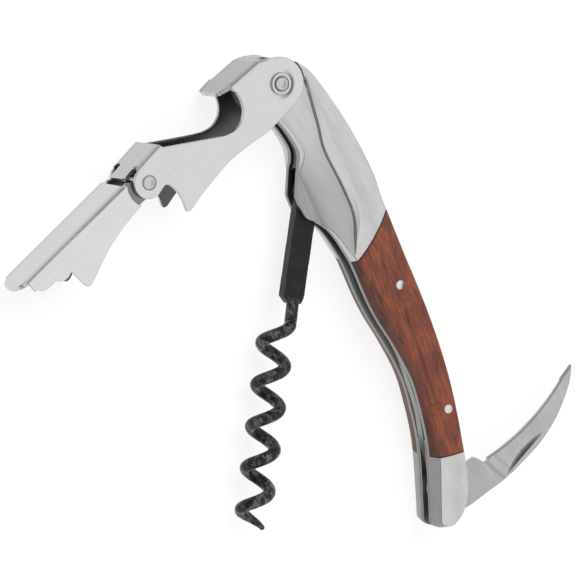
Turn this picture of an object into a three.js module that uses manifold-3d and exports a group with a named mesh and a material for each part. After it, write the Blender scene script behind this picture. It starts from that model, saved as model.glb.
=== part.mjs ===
// A waiter's corkscrew with a two-step lever, built as an assembly of separate pieces.
//
// Millimetres. The corkscrew lies on its side on the plane z = 0, with the lever rivet's axis on Z
// through the origin. +X runs along the handle from the lever rivet to the tail, +Y points to the
// handle's back, and -Y to its belly, where the worm and the lever fold. Every hinge turns about Z.
// Pieces are drawn about the middle plane of the handle, and one group lifts them off the table.
import * as THREE from 'three';
import { mergeVertices } from 'three/addons/utils/BufferGeometryUtils.js';
import Module from 'manifold-3d';

const wasm = await Module();
wasm.setup();

// ---- driving dimensions -------------------------------------------------------------------------

// thickness of the stack, from the middle plane outwards
const linerGap = 3.2;
const linerThickness = 1.2;
const leverSeat = 5.2; // half thickness of the flat that the folded lever lies on
const crownHalf = 7.3; // half thickness over the crowned sides
const restHeight = crownHalf; // the middle plane's height over the table

// handle, along X
const headRadius = 5.8; // round end about the lever rivet
const headLength = 47.8; // lever rivet to the front end of the wood, at the belly
const gripLength = 53;
const tailLength = 18.2;

// lever
const leverLength = 40.2; // lever rivet to the step hinge
const sheet = 1.2; // thickness of the folded steel
const sideClearance = 0.2; // between faces that slide on each other
const foldRadius = 1.3;
const footLength = 39.3; // step hinge to the tip of the second lever
const hingeArc = 5.4; // hollow end of the second lever's walls, about the hinge
const leverEnd = 6.2; // round end of the first lever, about its rivet

// pins and rivets
const leverRivetRadius = 1.5;
const washerRadius = 2.65;
const hingeRivetRadius = 1.25;
const hingeHeadRadius = 1.75;
const crossPinRadius = 1.5;
const scalePinRadius = 1.15;
const pinFit = 0.1; // radial clearance round every pin

// worm
const wireRadius = 1.5;
const coilRadius = 3.1; // coil axis to the middle of the wire
const coilPitch = 9.9;
const coilStart = 32; // worm pin to the start of the coil
const wormLength = 80.9;
const shankWidth = 5.5;
const shankThickness = 2.8;
const shankLength = 25.4;
const heelRadius = 3.3;
const shankLean = 0.6; // how far the shank's end stands towards the coil axis
const coilOffset = 3.5; // worm pin to the coil axis

// blade
const bladeThickness = 1.7;
const tangRadius = 4;
const bladeLength = 46.1;

// places of the pivots, and the angles at which the tools stand
const wormPivot = new THREE.Vector2(27.5, -0.9);
const bladePivot = new THREE.Vector2(headLength + gripLength + 9.7, 2.5);
const leverAngle = THREE.MathUtils.degToRad(-82.35);
const footAngle = THREE.MathUtils.degToRad(8.1);
const wormAngle = THREE.MathUtils.degToRad(-32.8);
const bladeAngle = THREE.MathUtils.degToRad(102.1);

// fineness of the curves, and the size of the slivers that are cleaned away
const arcSteps = 3;
const roundSides = 24;
const pinSides = 16; // of the hidden pins and their holes
const sliver = 0.004;

// worked out from the above
const linerOuter = linerGap / 2 + linerThickness;
const cheekInner = leverSeat + sideClearance;
const cheekOuter = cheekInner + sheet;
const footOuter = cheekOuter - sideClearance;
const earOuter = cheekInner - sideClearance;
const tailX = headLength + gripLength; // rear end of the wood

// a place in the wood, as a share of its length from the front
const grip = (share) => headLength + share * gripLength;
// a place in the tail bolster, from its joint with the wood
const tail = (distance) => tailX + distance * tailLength / 18.2;
// a place near the step hinge, from the hinge
const hinge = (distance) => leverLength + distance;

// ---- materials ----------------------------------------------------------------------------------

const finishes = {
  brushed: { color: 0xc9c9c8, roughness: 0.32, metalness: 1 },
  polished: { color: 0xdedede, roughness: 0.12, metalness: 1 },
  stamped: { color: 0x9b9c9b, roughness: 0.4, metalness: 1 },
  blade: { color: 0xb9b9b8, roughness: 0.28, metalness: 1 },
  rosewood: { color: 0x85462f, roughness: 0.45, metalness: 0 },
  coated: { color: 0x262626, roughness: 0.45, metalness: 0.2 },
};

// ---- solids -------------------------------------------------------------------------------------

// a closed three.js geometry as a solid that can be joined and cut
function solid(geometry) {
  const bare = geometry.clone();
  bare.deleteAttribute('normal');
  bare.deleteAttribute('uv');
  const merged = mergeVertices(bare, 1e-4);
  return new wasm.Manifold(new wasm.Mesh({
    numProp: 3,
    vertProperties: new Float32Array(merged.getAttribute('position').array),
    triVerts: new Uint32Array(merged.getIndex().array),
  }));
}

// a solid as a three.js geometry, without the slivers that cutting leaves
function geometryOf(body) {
  const mesh = body.simplify(sliver).getMesh();
  const geometry = new THREE.BufferGeometry();
  geometry.setAttribute('position', new THREE.BufferAttribute(mesh.vertProperties, 3));
  geometry.setIndex(new THREE.BufferAttribute(mesh.triVerts, 1));
  geometry.computeVertexNormals();
  return geometry;
}

const join = (...bodies) => bodies.reduce((whole, body) => whole.add(body));
const cut = (body, ...tools) => tools.reduce((left, tool) => left.subtract(tool), body);

// the same geometry on the other side of the middle plane
function mirrored(geometry) {
  const copy = geometry.clone();
  copy.scale(1, 1, -1);
  const index = copy.getIndex();
  for (let i = 0; i < index.count; i += 3) {
    const first = index.getX(i);
    index.setX(i, index.getX(i + 1));
    index.setX(i + 1, first);
  }
  copy.computeVertexNormals();
  return copy;
}

// an outline drawn in XY, made a plate from one height to another
function plate(outline, low, high) {
  const geometry = new THREE.ExtrudeGeometry(outline, {
    depth: high - low,
    bevelEnabled: false,
    curveSegments: arcSteps,
  });
  geometry.translate(0, 0, low);
  return solid(geometry);
}

// a round bar along Z
function bar(radius, low, high, x = 0, y = 0, sides = roundSides) {
  const geometry = new THREE.CylinderGeometry(radius, radius, high - low, sides);
  geometry.rotateX(Math.PI / 2);
  geometry.translate(x, y, (high + low) / 2);
  return solid(geometry);
}

// a turned piece along Z: its profile is a list of [radius, height]
function turned(profile, sides = roundSides) {
  const geometry = new THREE.LatheGeometry(profile.map(([r, z]) => new THREE.Vector2(r, z)), sides);
  geometry.rotateX(Math.PI / 2);
  return solid(geometry);
}

const points = (list) => list.map(([x, y]) => new THREE.Vector2(x, y));

// adds an arc about a point to an outline, in short pieces so that it stays smooth
function arc(shape, x, y, radius, from, to) {
  const pieces = Math.ceil(Math.abs(to - from) / 1.1);
  for (let i = 0; i < pieces; i += 1) {
    const start = from + (to - from) * i / pieces;
    const end = from + (to - from) * (i + 1) / pieces;
    shape.absarc(x, y, radius, start, end, to < from);
  }
}

// ---- handle -------------------------------------------------------------------------------------

// the belly's edge from the round head to the notch for the worm
const neckAngle = -0.5; // where the round head runs into the belly
const neck = [[9, -2.2], [12.2, -1.2], [16.9, -0.43], [19.4, -1.1], [21.6, -2.55]];

// side outline of the whole handle: belly, tail, back, and the round head
function handleOutline() {
  const shape = new THREE.Shape();
  shape.moveTo(headRadius * Math.cos(neckAngle), headRadius * Math.sin(neckAngle));
  shape.splineThru(points(neck));
  shape.lineTo(26.8, -5.4);
  shape.splineThru(points([
    [29.6, -5.45], [32.6, -5.1], [34.5, -3.4], [37.2, -1.4], [40.4, -0.15], [headLength - 3, 0.8],
  ]));
  shape.splineThru(points([
    [headLength + 1.2, 1.33], [grip(0.19), 1.5], [grip(0.31), 2.15], [grip(0.45), 3.5],
    [grip(0.63), 4.5], [grip(0.8), 3.55], [grip(0.94), 2.1], [tail(3.2), -0.05], [tail(11.9), -3.4],
  ]));
  shape.splineThru(points([[tail(15.4), -4.6], [tail(17.3), -3.4], [tail(18), -1.2], [tail(17), 2]]));
  shape.splineThru(points([
    [tail(14.6), 4.8], [tail(11.3), 6.9], [tail(6.5), 8.5], [tailX, 10], [grip(0.8), 12.2],
    [grip(0.58), 13.8], [grip(0.33), 14.5], [grip(0.05), 14.4], [39, 14.4], [28.8, 14.2], [20.8, 13.4],
    [13.7, 12.2], [7, 10.6], [1.4, 8.85], [-0.9, 7.6], [-2.8, 6.2],
  ]));
  const crest = 2.5; // where the back runs into the round head
  shape.lineTo(headRadius * Math.cos(crest), headRadius * Math.sin(crest));
  arc(shape, 0, 0, headRadius, crest, 2 * Math.PI + neckAngle);
  return shape;
}

// the holes for the pins that pass through a handle plate
function pinHoles(places, low, high) {
  return places.map(([x, y, radius]) => bar(
    radius + pinFit, low - 1, high + 1, x, y, pinSides,
  ));
}

const springPins = [[grip(0.06), 8.6], [grip(0.27), 6.6]];
const scalePins = [[grip(0.18), 9], [grip(0.815), 8.6]];
const crossPins = [
  [0, 0, leverRivetRadius],
  [wormPivot.x, wormPivot.y, crossPinRadius],
  [bladePivot.x, bladePivot.y, crossPinRadius],
  ...springPins.map(([x, y]) => [x, y, crossPinRadius]),
  ...scalePins.map(([x, y]) => [x, y, scalePinRadius]),
];

function liner() {
  const low = linerGap / 2;
  return cut(plate(handleOutline(), low, linerOuter), ...pinHoles(crossPins, low, linerOuter));
}

// the crowned surface of the handle's side: a shallow arch swept along the handle
function crown() {
  const halfWidth = 12;
  const archRadius = 14;
  const arch = new THREE.Shape();
  const drop = archRadius - Math.sqrt(archRadius ** 2 - halfWidth ** 2);
  const spread = Math.asin(halfWidth / archRadius);
  arch.moveTo(0, -halfWidth);
  arch.lineTo(-crownHalf + drop, -halfWidth);
  arch.absarc(archRadius - crownHalf, 0, archRadius, Math.PI + spread, Math.PI - spread, true);
  arch.lineTo(0, halfWidth);
  arch.closePath();
  const spine = new THREE.CatmullRomCurve3([
    [-16, 1.5, 0], [-6, 3.5, 0], [8, 5.6, 0], [24, 7.6, 0], [headLength, 8.4, 0],
    [grip(0.35), 9, 0], [grip(0.7), 8.8, -0.05], [tailX, 5.6, -0.25], [tail(9), 2.8, -0.5],
    [tail(18), -0.6, -0.8], [tail(27), -4.2, -1.1],
  ].map(([x, y, z]) => new THREE.Vector3(x, y, z)));
  return solid(new THREE.ExtrudeGeometry(arch, {
    steps: 30,
    curveSegments: 8,
    extrudePath: spine,
  }));
}

// one side of the handle before it is parted into bolsters and scale: its edge leans in from the
// liner, by so much for each millimetre of height, and its face is crowned
function sideBlank(lean) {
  const height = crownHalf + 0.5 - linerOuter;
  const geometry = new THREE.ExtrudeGeometry(handleOutline(), {
    depth: 0.02,
    bevelThickness: height,
    bevelSize: lean * height,
    bevelOffset: -lean * height,
    bevelSegments: 1,
    curveSegments: arcSteps,
  });
  geometry.translate(0, 0, linerOuter - 0.02);
  const slab = new THREE.BoxGeometry(400, 200, 40);
  slab.translate(0, 0, linerOuter + 20);
  return solid(geometry).intersect(solid(slab)).intersect(crown());
}

// region of the head where the folded lever lies, seen from the side
function leverPocketOutline() {
  const shape = new THREE.Shape();
  shape.moveTo(-6, 2);
  shape.lineTo(2.2, 6.4);
  shape.splineThru(points([
    [6.8, 5.9], [13.4, 5.05], [18.3, 4.15], [22.2, 4.25], [27.5, 4.8], [32.3, 5.1], [35.8, 5.1],
    [38.6, 4.5], [42.4, 3], [headLength - 2.2, 1.7], [headLength - 0.2, 0.6],
  ]));
  shape.lineTo(46, -14);
  shape.lineTo(-14, -14);
  shape.lineTo(-14, 2);
  shape.closePath();
  return shape;
}

// the pocket's wall rises in a hollow curve from the flat to the crown, and stands upright where it
// follows the lever's round end
function leverPocket() {
  const rise = crownHalf + 0.3 - leverSeat;
  const geometry = new THREE.ExtrudeGeometry(leverPocketOutline(), {
    depth: 3,
    bevelThickness: rise,
    bevelSize: 0.65,
    bevelOffset: 0,
    bevelSegments: 4,
    curveSegments: arcSteps,
  });
  geometry.translate(0, 0, leverSeat + rise);
  return solid(geometry).add(bar(leverEnd + 0.25, leverSeat, crownHalf + 4, 0, 0, 72));
}

// the facet that leans in from the belly's edge behind the worm's notch: it grows out of nothing
// there, and runs on into the edge of the wood
function bellyFacet() {
  const top = crownHalf + 0.5;
  const section = new THREE.Shape(points([
    [-linerOuter, 0], [-top, sideLean * (top - linerOuter)], [-top, -3], [-linerOuter, -3],
  ]));
  const route = [
    [37, -5], [39.6, -3.1], [42, -1.5], [44.4, -0.25], [headLength - 0.9, 0.8],
    [headLength + 1.2, 1.33], [headLength + 6, 1.4],
  ];
  return solid(new THREE.ExtrudeGeometry(section, {
    steps: 16,
    extrudePath: new THREE.CatmullRomCurve3(route.map(([x, y]) => new THREE.Vector3(x, y, 0))),
  }));
}

// the planes that part the wood from the bolsters, as wide wedges of everything behind them
function behind(lowX, lowY, highX, highY) {
  const slope = (highX - lowX) / (highY - lowY);
  const reach = 40;
  const shape = new THREE.Shape(points([
    [lowX - slope * reach, lowY - reach], [lowX + 200, lowY - reach],
    [highX + 200, highY + reach], [highX + slope * reach, highY + reach],
  ]));
  return plate(shape, -1, 20);
}

const behindHead = behind(headLength, 1.2, headLength - 8.7, 14.2);
const behindGrip = behind(tailX, 1, tailX + 2.4, 9.6);
const sideLean = 0.25; // how far the wood's edge leans in for each millimetre of height
const blank = sideBlank(sideLean);

// the lever's flat is the full width of the head, below the crowned part
function headBolster() {
  const flat = plate(handleOutline(), linerOuter, leverSeat);
  const body = cut(sideBlank(0.05).add(flat), behindHead, leverPocket(), bellyFacet());
  return cut(body, ...pinHoles([[0, 0, leverRivetRadius]], linerOuter, crownHalf));
}

function scale() {
  const holes = scalePins.map(([x, y]) => [x, y, scalePinRadius]);
  const body = blank.intersect(behindHead).subtract(behindGrip);
  return cut(body, ...pinHoles(holes, linerOuter, crownHalf));
}

function tailBolster() {
  return blank.intersect(behindGrip);
}

// a short pin that holds one scale to its liner, with a slightly domed end
function scalePin() {
  const top = crownHalf;
  return turned([
    [0, linerGap / 2], [scalePinRadius, linerGap / 2], [scalePinRadius, top - 0.18],
    [scalePinRadius * 0.8, top - 0.06], [scalePinRadius * 0.45, top], [0, top],
  ]);
}

// a pin across both liners, flush with their outer faces
const crossPin = () => bar(crossPinRadius, -linerOuter, linerOuter, 0, 0, pinSides);

// the block between the liners that the lever rivet passes through, flush with the head and neck
function headSpacer() {
  const shape = new THREE.Shape();
  const upper = 1.3; // where its round end runs into its straight back
  shape.moveTo(headRadius * Math.cos(neckAngle), headRadius * Math.sin(neckAngle));
  shape.splineThru(points(neck));
  shape.lineTo(22.4, 2.4);
  shape.lineTo(21.4, 4.9);
  shape.lineTo(6, 5.2);
  shape.lineTo(headRadius * Math.cos(upper), headRadius * Math.sin(upper));
  arc(shape, 0, 0, headRadius, upper, 2 * Math.PI + neckAngle);
  const half = linerGap / 2;
  const low = -half + 0.35; // packed against the near liner
  return cut(plate(shape, low, half), ...pinHoles([[0, 0, leverRivetRadius]], low, half));
}

// the S-shaped spring: flush with the back over the worm's heel, then down to the belly, where
// its thin tail presses the blade's tang
function backSpring() {
  const shape = new THREE.Shape();
  shape.moveTo(4.2, 9.4);
  shape.splineThru(points([[8.5, 5.9], [22.4, 5.5]]));
  shape.splineThru(points([[24.4, 3.3], [27.5, 2.85], [31, 3.4]]));
  shape.splineThru(points([
    [38, 4.6], [grip(0), 4.2], [grip(0.12), 3.9], [grip(0.3), 4], [grip(0.5), 4.7],
    [grip(0.66), 4.5], [grip(0.8), 3.75], [grip(0.93), 2.15], [tail(2.6), 0.85], [tail(4), 0.55],
  ]));
  shape.lineTo(tail(4.2), 1.2);
  shape.splineThru(points([
    [tail(0.6), 2.75], [grip(0.93), 4.1], [grip(0.8), 5.9], [grip(0.6), 6.8], [grip(0.45), 6.6],
    [grip(0.33), 6.5],
  ]));
  shape.splineThru(points([[grip(0.29), 8.6], [grip(0.2), 11.8], [grip(0.08), 14.1]]));
  shape.splineThru(points([[39, 14.2], [28.8, 14], [20.8, 13.2], [13.7, 12], [7, 10.4], [4.2, 9.4]]));
  const half = linerGap / 2 - 0.1;
  const holes = springPins.map(([x, y]) => [x, y, crossPinRadius]);
  return cut(plate(shape, -half, half), ...pinHoles(holes, -half, half));
}

// ---- lever rivet and its washers ----------------------------------------------------------------

function leverRivet() {
  const end = crownHalf;
  const r = leverRivetRadius;
  const half = [[r, 0], [r, end - 0.3], [r * 0.85, end - 0.1], [r * 0.5, end], [0, end]];
  const lower = half.slice(0).reverse().map(([radius, z]) => [radius, -z]);
  return turned([...lower.slice(0, -1), ...half.slice(1)]);
}

// a thick washer with a dished middle, under the peened end of the lever rivet
function leverWasher() {
  const low = cheekOuter + 0.08;
  const top = crownHalf;
  const bore = leverRivetRadius + pinFit;
  const profile = [
    [bore, low], [washerRadius, low], [washerRadius, top - 0.2], [washerRadius - 0.2, top],
    [washerRadius - 0.75, top], [washerRadius - 0.95, top - 0.3], [bore, top - 0.35], [bore, low],
  ];
  return turned(profile);
}

// ---- folded levers ------------------------------------------------------------------------------

// a straight length of folded channel: its web runs from start to end in XY, with the web's outer
// face on that line and the side walls standing towards +Y
function channel(start, end, half, leg) {
  const r = foldRadius;
  const t = sheet;
  const inner = half - t;
  const innerRadius = Math.max(r - t, 0.1);
  const shape = new THREE.Shape();
  shape.moveTo(half, leg);
  shape.lineTo(inner, leg);
  shape.lineTo(inner, t + innerRadius);
  shape.absarc(inner - innerRadius, t + innerRadius, innerRadius, 0, -Math.PI / 2, true);
  shape.lineTo(-inner + innerRadius, t);
  shape.absarc(-inner + innerRadius, t + innerRadius, innerRadius, -Math.PI / 2, -Math.PI, true);
  shape.lineTo(-inner, leg);
  shape.lineTo(-half, leg);
  shape.lineTo(-half, r);
  shape.absarc(-half + r, r, r, Math.PI, Math.PI * 1.5, false);
  shape.lineTo(half - r, 0);
  shape.absarc(half - r, r, r, -Math.PI / 2, 0, false);
  shape.closePath();
  const run = new THREE.Vector2().subVectors(end, start);
  const along = new THREE.Vector3(run.x, run.y, 0).normalize();
  const inward = new THREE.Vector3(-along.y, along.x, 0);
  const geometry = new THREE.ExtrudeGeometry(shape, {
    depth: run.length(),
    bevelEnabled: false,
    curveSegments: arcSteps,
  });
  const turn = new THREE.Matrix4().makeBasis(new THREE.Vector3(0, 0, -1), inward, along);
  geometry.applyMatrix4(turn.setPosition(start.x, start.y, 0));
  return solid(geometry);
}

// a flat tongue of sheet that goes on from a web: its outline is drawn as distance along the web
// and half width, and its outer face starts at a point of XY and leans at an angle
function tongue(outline, place, angle) {
  const geometry = new THREE.ExtrudeGeometry(outline, {
    depth: sheet,
    bevelEnabled: false,
    curveSegments: arcSteps,
  });
  const along = new THREE.Vector3(Math.cos(angle), Math.sin(angle), 0);
  const inward = new THREE.Vector3(-along.y, along.x, 0);
  const across = new THREE.Vector3().crossVectors(inward, along);
  geometry.applyMatrix4(new THREE.Matrix4().makeBasis(along, across, inward)
    .setPosition(place.x, place.y, 0));
  return solid(geometry);
}

// where the two webs of the first lever start and end, on their outer faces
const capWeb = points([[2, -7.5], [11.2, -6.75]]);
const stepWeb = points([[hinge(-7), -5.75], [hinge(1), -4.15]]);

// side outline of the first lever's cheeks, with the web side at -Y
function cheekOutline() {
  const shape = new THREE.Shape();
  shape.moveTo(2.2, -6.4);
  shape.lineTo(capWeb[1].x - 0.05, capWeb[1].y + 0.9);
  shape.splineThru(points([
    [10.6, -4.1], [10.75, -1.8], [11.6, 0.2], [13.2, 1.7], [15.4, 2.4], [18, 2.05],
  ]));
  shape.splineThru(points([
    [leverLength * 0.54, 0.5], [hinge(-10.5), -3.2], [stepWeb[0].x, stepWeb[0].y + 0.9],
  ]));
  shape.lineTo(stepWeb[1].x - 0.4, stepWeb[1].y + 0.9);
  const lobe = 3.75;
  arc(shape, leverLength, 0, lobe, -1.3, 1.75);
  shape.splineThru(points([[hinge(-2.2), 3.05], [hinge(-3.3), 2.85], [hinge(-4.2), 3.7]]));
  shape.splineThru(points([[hinge(-4.8), 5.6], [hinge(-4.85), 8.2], [hinge(-4.4), 10.6]]));
  shape.splineThru(points([[hinge(-4.6), 11.25], [hinge(-5.5), 11.4]]));
  shape.splineThru(points([
    [hinge(-10), 9.9], [leverLength * 0.62, 8.55], [leverLength * 0.5, 7.55],
    [leverLength * 0.35, 7.35], [8.3, 7.55], [4.2, 6.95], [0.2, 6.24],
  ]));
  shape.lineTo(leverEnd * Math.cos(1.85), leverEnd * Math.sin(1.85));
  arc(shape, 0, 0, leverEnd, 1.85, 4.2);
  shape.lineTo(-0.6, -6.6);
  shape.closePath();
  return shape;
}

// the cap lifter's lip, which curls in a little past the hook: its sides swing in and out again to
// a blunt nose
function lipOutline() {
  const half = cheekOuter - foldRadius;
  const shape = new THREE.Shape();
  shape.moveTo(-1.5, -half);
  shape.splineThru(points([
    [-0.1, -half], [0.5, -half + 0.35], [1, -half + 1.1], [1.9, -half + 2], [2.5, -half + 3.2], [2.7, 0],
  ]));
  shape.splineThru(points([
    [2.5, half - 3.2], [1.9, half - 2], [1, half - 1.1], [0.5, half - 0.35], [-0.1, half], [-1.5, half],
  ]));
  shape.closePath();
  return shape;
}

// the tongue of the step web, between its two relief slots
const slotHalf = 1.2;
const slotMiddle = 4.5;

function stepTongueOutline() {
  const half = slotMiddle - slotHalf;
  const shape = new THREE.Shape();
  shape.moveTo(-1, -half);
  shape.lineTo(2.6, -half);
  shape.lineTo(3, -half + 0.4);
  shape.lineTo(3, half - 0.4);
  shape.lineTo(2.6, half);
  shape.lineTo(-1, half);
  shape.closePath();
  return shape;
}

const angleOf = ([start, end]) => Math.atan2(end.y - start.y, end.x - start.x);

function leverArm() {
  const cheek = plate(cheekOutline(), cheekInner, cheekOuter);
  const otherCheek = plate(cheekOutline(), -cheekOuter, -cheekInner);
  const webs = [
    channel(capWeb[0], capWeb[1], cheekOuter, 1.6),
    channel(stepWeb[0], stepWeb[1], cheekOuter, 3),
    tongue(lipOutline(), capWeb[1], angleOf(capWeb) + 0.12),
    tongue(stepTongueOutline(), stepWeb[1], angleOf(stepWeb)),
  ];
  const slots = [-1, 1].map((side) => {
    const geometry = new THREE.CylinderGeometry(slotHalf, slotHalf, 4, 16);
    geometry.translate(0, 0, side * slotMiddle);
    geometry.rotateZ(angleOf(stepWeb));
    geometry.translate(stepWeb[1].x - 0.1, stepWeb[1].y, 0);
    return solid(geometry);
  });
  const bores = [
    bar(leverRivetRadius + pinFit, -20, 20),
    bar(hingeRivetRadius + pinFit, -20, 20, leverLength, 0),
  ];
  return cut(join(cheek, otherCheek, ...webs), ...slots, ...bores);
}

// the rivet of the step hinge, with a low domed head at both ends
function hingeRivet() {
  const seat = cheekOuter + 0.05;
  const top = crownHalf;
  const r = hingeRivetRadius;
  const h = hingeHeadRadius;
  const half = [
    [r, 0], [r, seat], [h, seat], [h, seat + 0.25], [h * 0.86, top - 0.18], [h * 0.6, top - 0.04],
    [h * 0.4, top], [0, top],
  ];
  const lower = half.slice(0).reverse().map(([radius, z]) => [radius, -z]);
  return turned([...lower.slice(0, -1), ...half.slice(1)]);
}

// side outline of the second lever, from the ears at its hinge to the tooth, notch and lobe
function footOutline() {
  const shape = new THREE.Shape();
  const ear = 2.7;
  const web = -3.7;
  shape.moveTo(ear * Math.cos(5.5), ear * Math.sin(5.5));
  shape.lineTo(3.7, web + 0.4);
  shape.lineTo(5.1, web + 0.6);
  shape.lineTo(footLength - 3, web + 0.9);
  shape.splineThru(points([
    [footLength - 3.2, -1.6], [footLength - 3.9, 0.2], [footLength - 5.3, 0.85],
    [footLength - 8, 1.05],
  ]));
  shape.splineThru(points([
    [footLength - 9, 2.1], [footLength - 10.3, 2.45], [footLength - 11.4, 2.3],
    [footLength - 12.1, 1.85],
  ]));
  shape.splineThru(points([
    [footLength - 12.3, 4.6], [footLength - 12.5, 6.6], [footLength - 13, 7.5],
    [footLength - 13.9, 7.7],
  ]));
  shape.splineThru(points([
    [footLength - 16.6, 6.7], [footLength * 0.45, 4.8], [footLength * 0.32, 3.6], [8, 3], [4.6, 2.8],
    [2.2, 2.9],
  ]));
  arc(shape, 0, 0, ear, 1.2, 5.5);
  return shape;
}

function footTipOutline() {
  const half = footOuter - foldRadius;
  const shape = new THREE.Shape();
  shape.moveTo(-1.5, -half);
  shape.splineThru(points([[0, -half], [1.3, -half + 1.1], [2.3, -half + 3], [2.6, 0]]));
  shape.splineThru(points([[2.3, half - 3], [1.3, half - 1.1], [0, half], [-1.5, half]]));
  shape.closePath();
  return shape;
}

// the side walls end in a hollow arc round the hinge, and step inwards there to the two ears
// that lie inside the first lever's cheeks
function leverFoot() {
  const web = points([[5.1, -3.7], [footLength - 2.6, -3.7]]);
  const earInner = earOuter - sheet;
  const end = bar(hingeArc, -20, 20, 0, 0, 48);
  const stepEnd = bar(hingeArc + sheet, -20, 20, 0, 0, 48);
  const walls = [-1, 1].flatMap((face) => {
    const layer = (low, high) => plate(
      footOutline(), Math.min(face * low, face * high), Math.max(face * low, face * high),
    );
    return [
      layer(footOuter - sheet, footOuter).subtract(end),
      layer(earInner, footOuter).subtract(end).intersect(stepEnd),
      layer(earInner, earOuter).intersect(stepEnd),
    ];
  });
  const webs = [
    channel(web[0], web[1], footOuter, 3).subtract(end),
    tongue(footTipOutline(), web[1], 0),
  ];
  return cut(join(...walls, ...webs), bar(hingeRivetRadius + pinFit, -20, 20));
}

// ---- worm ---------------------------------------------------------------------------------------

// the wire leaves the shank straight, then winds about an axis beside the shank's middle line
function wormPath() {
  const route = [new THREE.Vector3(shankLength - 2, 0, 0)];
  route.push(new THREE.Vector3(shankLength + 1.5, 0, 0));
  route.push(new THREE.Vector3(coilStart - 2.2, -0.02, 0.1));
  const stepsPerTurn = 10;
  const turns = (wormLength - coilStart) / coilPitch;
  const count = Math.round(turns * stepsPerTurn);
  for (let i = 0; i <= count; i += 1) {
    const turn = (i / count) * turns * 2 * Math.PI;
    route.push(new THREE.Vector3(
      coilStart + coilPitch * turn / (2 * Math.PI),
      -coilOffset + coilRadius * Math.cos(turn),
      coilRadius * Math.sin(turn),
    ));
  }
  return new THREE.CatmullRomCurve3(route);
}

// a round wire along a path, drawn down to a point over its last stretch
function pointedWire(path, steps, sides, pointLength) {
  const section = new THREE.Shape();
  section.absarc(0, 0, wireRadius, 0, 2 * Math.PI, false);
  const geometry = new THREE.ExtrudeGeometry(section, {
    steps,
    curveSegments: sides / 2,
    extrudePath: path,
  });
  const centres = path.getSpacedPoints(steps);
  const length = path.getLength();
  const place = geometry.getAttribute('position');
  const vertex = new THREE.Vector3();
  for (let i = 0; i < place.count; i += 1) {
    vertex.fromBufferAttribute(place, i);
    let nearest = 0;
    centres.forEach((centre, k) => {
      if (centre.distanceTo(vertex) < centres[nearest].distanceTo(vertex)) nearest = k;
    });
    const left = length * (1 - nearest / steps);
    const share = Math.min(1, 0.24 + 0.76 * left / pointLength);
    vertex.sub(centres[nearest]).multiplyScalar(share).add(centres[nearest]);
    place.setXYZ(i, vertex.x, vertex.y, vertex.z);
  }
  return solid(geometry);
}

function worm() {
  const half = shankThickness / 2;
  const shank = new THREE.Shape();
  const wide = shankWidth / 2;
  shank.moveTo(0, -wide);
  shank.lineTo(shankLength - 0.3, -wide - shankLean);
  shank.lineTo(shankLength + 1.4, -wireRadius);
  shank.lineTo(shankLength + 1, wireRadius);
  shank.lineTo(shankLength - 0.4, wide - shankLean);
  shank.lineTo(0, wide);
  shank.closePath();
  const heel = bar(heelRadius, -half, half);
  const wire = pointedWire(wormPath(), 84, 8, 7.5);
  return cut(join(plate(shank, -half, half), heel, wire), bar(crossPinRadius + pinFit, -20, 20));
}

// ---- blade --------------------------------------------------------------------------------------

// drawn with the tip along +X from the pivot, the edge at +Y and the back of the blade at -Y
const choil = 13.4; // pivot to the line where the ground part starts
const edge = new THREE.QuadraticBezierCurve3(
  new THREE.Vector3(choil + 1, -2.7, 0),
  new THREE.Vector3(bladeLength * 0.607, -5.45, 0),
  new THREE.Vector3(bladeLength - 4.5, -1.4, 0),
);

// the edge's hollow line is cut into small teeth
function bladeOutline() {
  const teeth = 44;
  const depth = 0.24;
  const shape = new THREE.Shape();
  shape.moveTo(tangRadius * Math.cos(0.9), tangRadius * Math.sin(0.9));
  shape.splineThru(points([[6, 1.3], [9.1, 0.1]]));
  shape.lineTo(choil - 2.1, -0.2);
  shape.splineThru(points([[choil - 1.3, -2.2], [choil - 0.2, -3.05]]));
  for (let i = 0; i < teeth; i += 1) {
    const start = edge.getPoint(i / teeth);
    const middle = edge.getPoint((i + 0.5) / teeth);
    shape.lineTo(start.x, start.y);
    shape.lineTo(middle.x, middle.y - depth);
  }
  shape.lineTo(edge.v2.x, edge.v2.y);
  shape.lineTo(edge.v2.x + 0.5, edge.v2.y + 0.35);
  shape.lineTo(bladeLength + 0.2, -0.25);
  shape.splineThru(points([[bladeLength + 0.35, -0.6], [bladeLength - 0.2, -1.3]]));
  shape.splineThru(points([
    [bladeLength - 2.9, -3.8], [bladeLength - 7.6, -6.5], [bladeLength - 12.4, -8.5],
    [bladeLength - 18, -9.8], [22, -10.3], [14.3, -10.25], [9.1, -9.5], [4, -8.9],
  ]));
  shape.splineThru(points([[1.2, -8.1], [-1.2, -6], [-2.6, -tangRadius * 0.76]]));
  shape.absarc(0, 0, tangRadius, -2.3, 0.9, true);
  return shape;
}

// what is ground off one face, so that the blade thins from its back towards the edge
function faceGrind() {
  const half = bladeThickness / 2;
  const thinned = 0.42; // taken off at the edge
  const back = -10;
  const front = 3;
  const section = new THREE.Shape(points([
    [-half, back], [-half + thinned * (front - back) / 7, front], [-half - 1, front],
    [-half - 1, back],
  ]));
  const geometry = new THREE.ExtrudeGeometry(section, { depth: 60, bevelEnabled: false });
  geometry.rotateY(Math.PI / 2);
  geometry.translate(choil, 0, 0);
  return solid(geometry);
}

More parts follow.
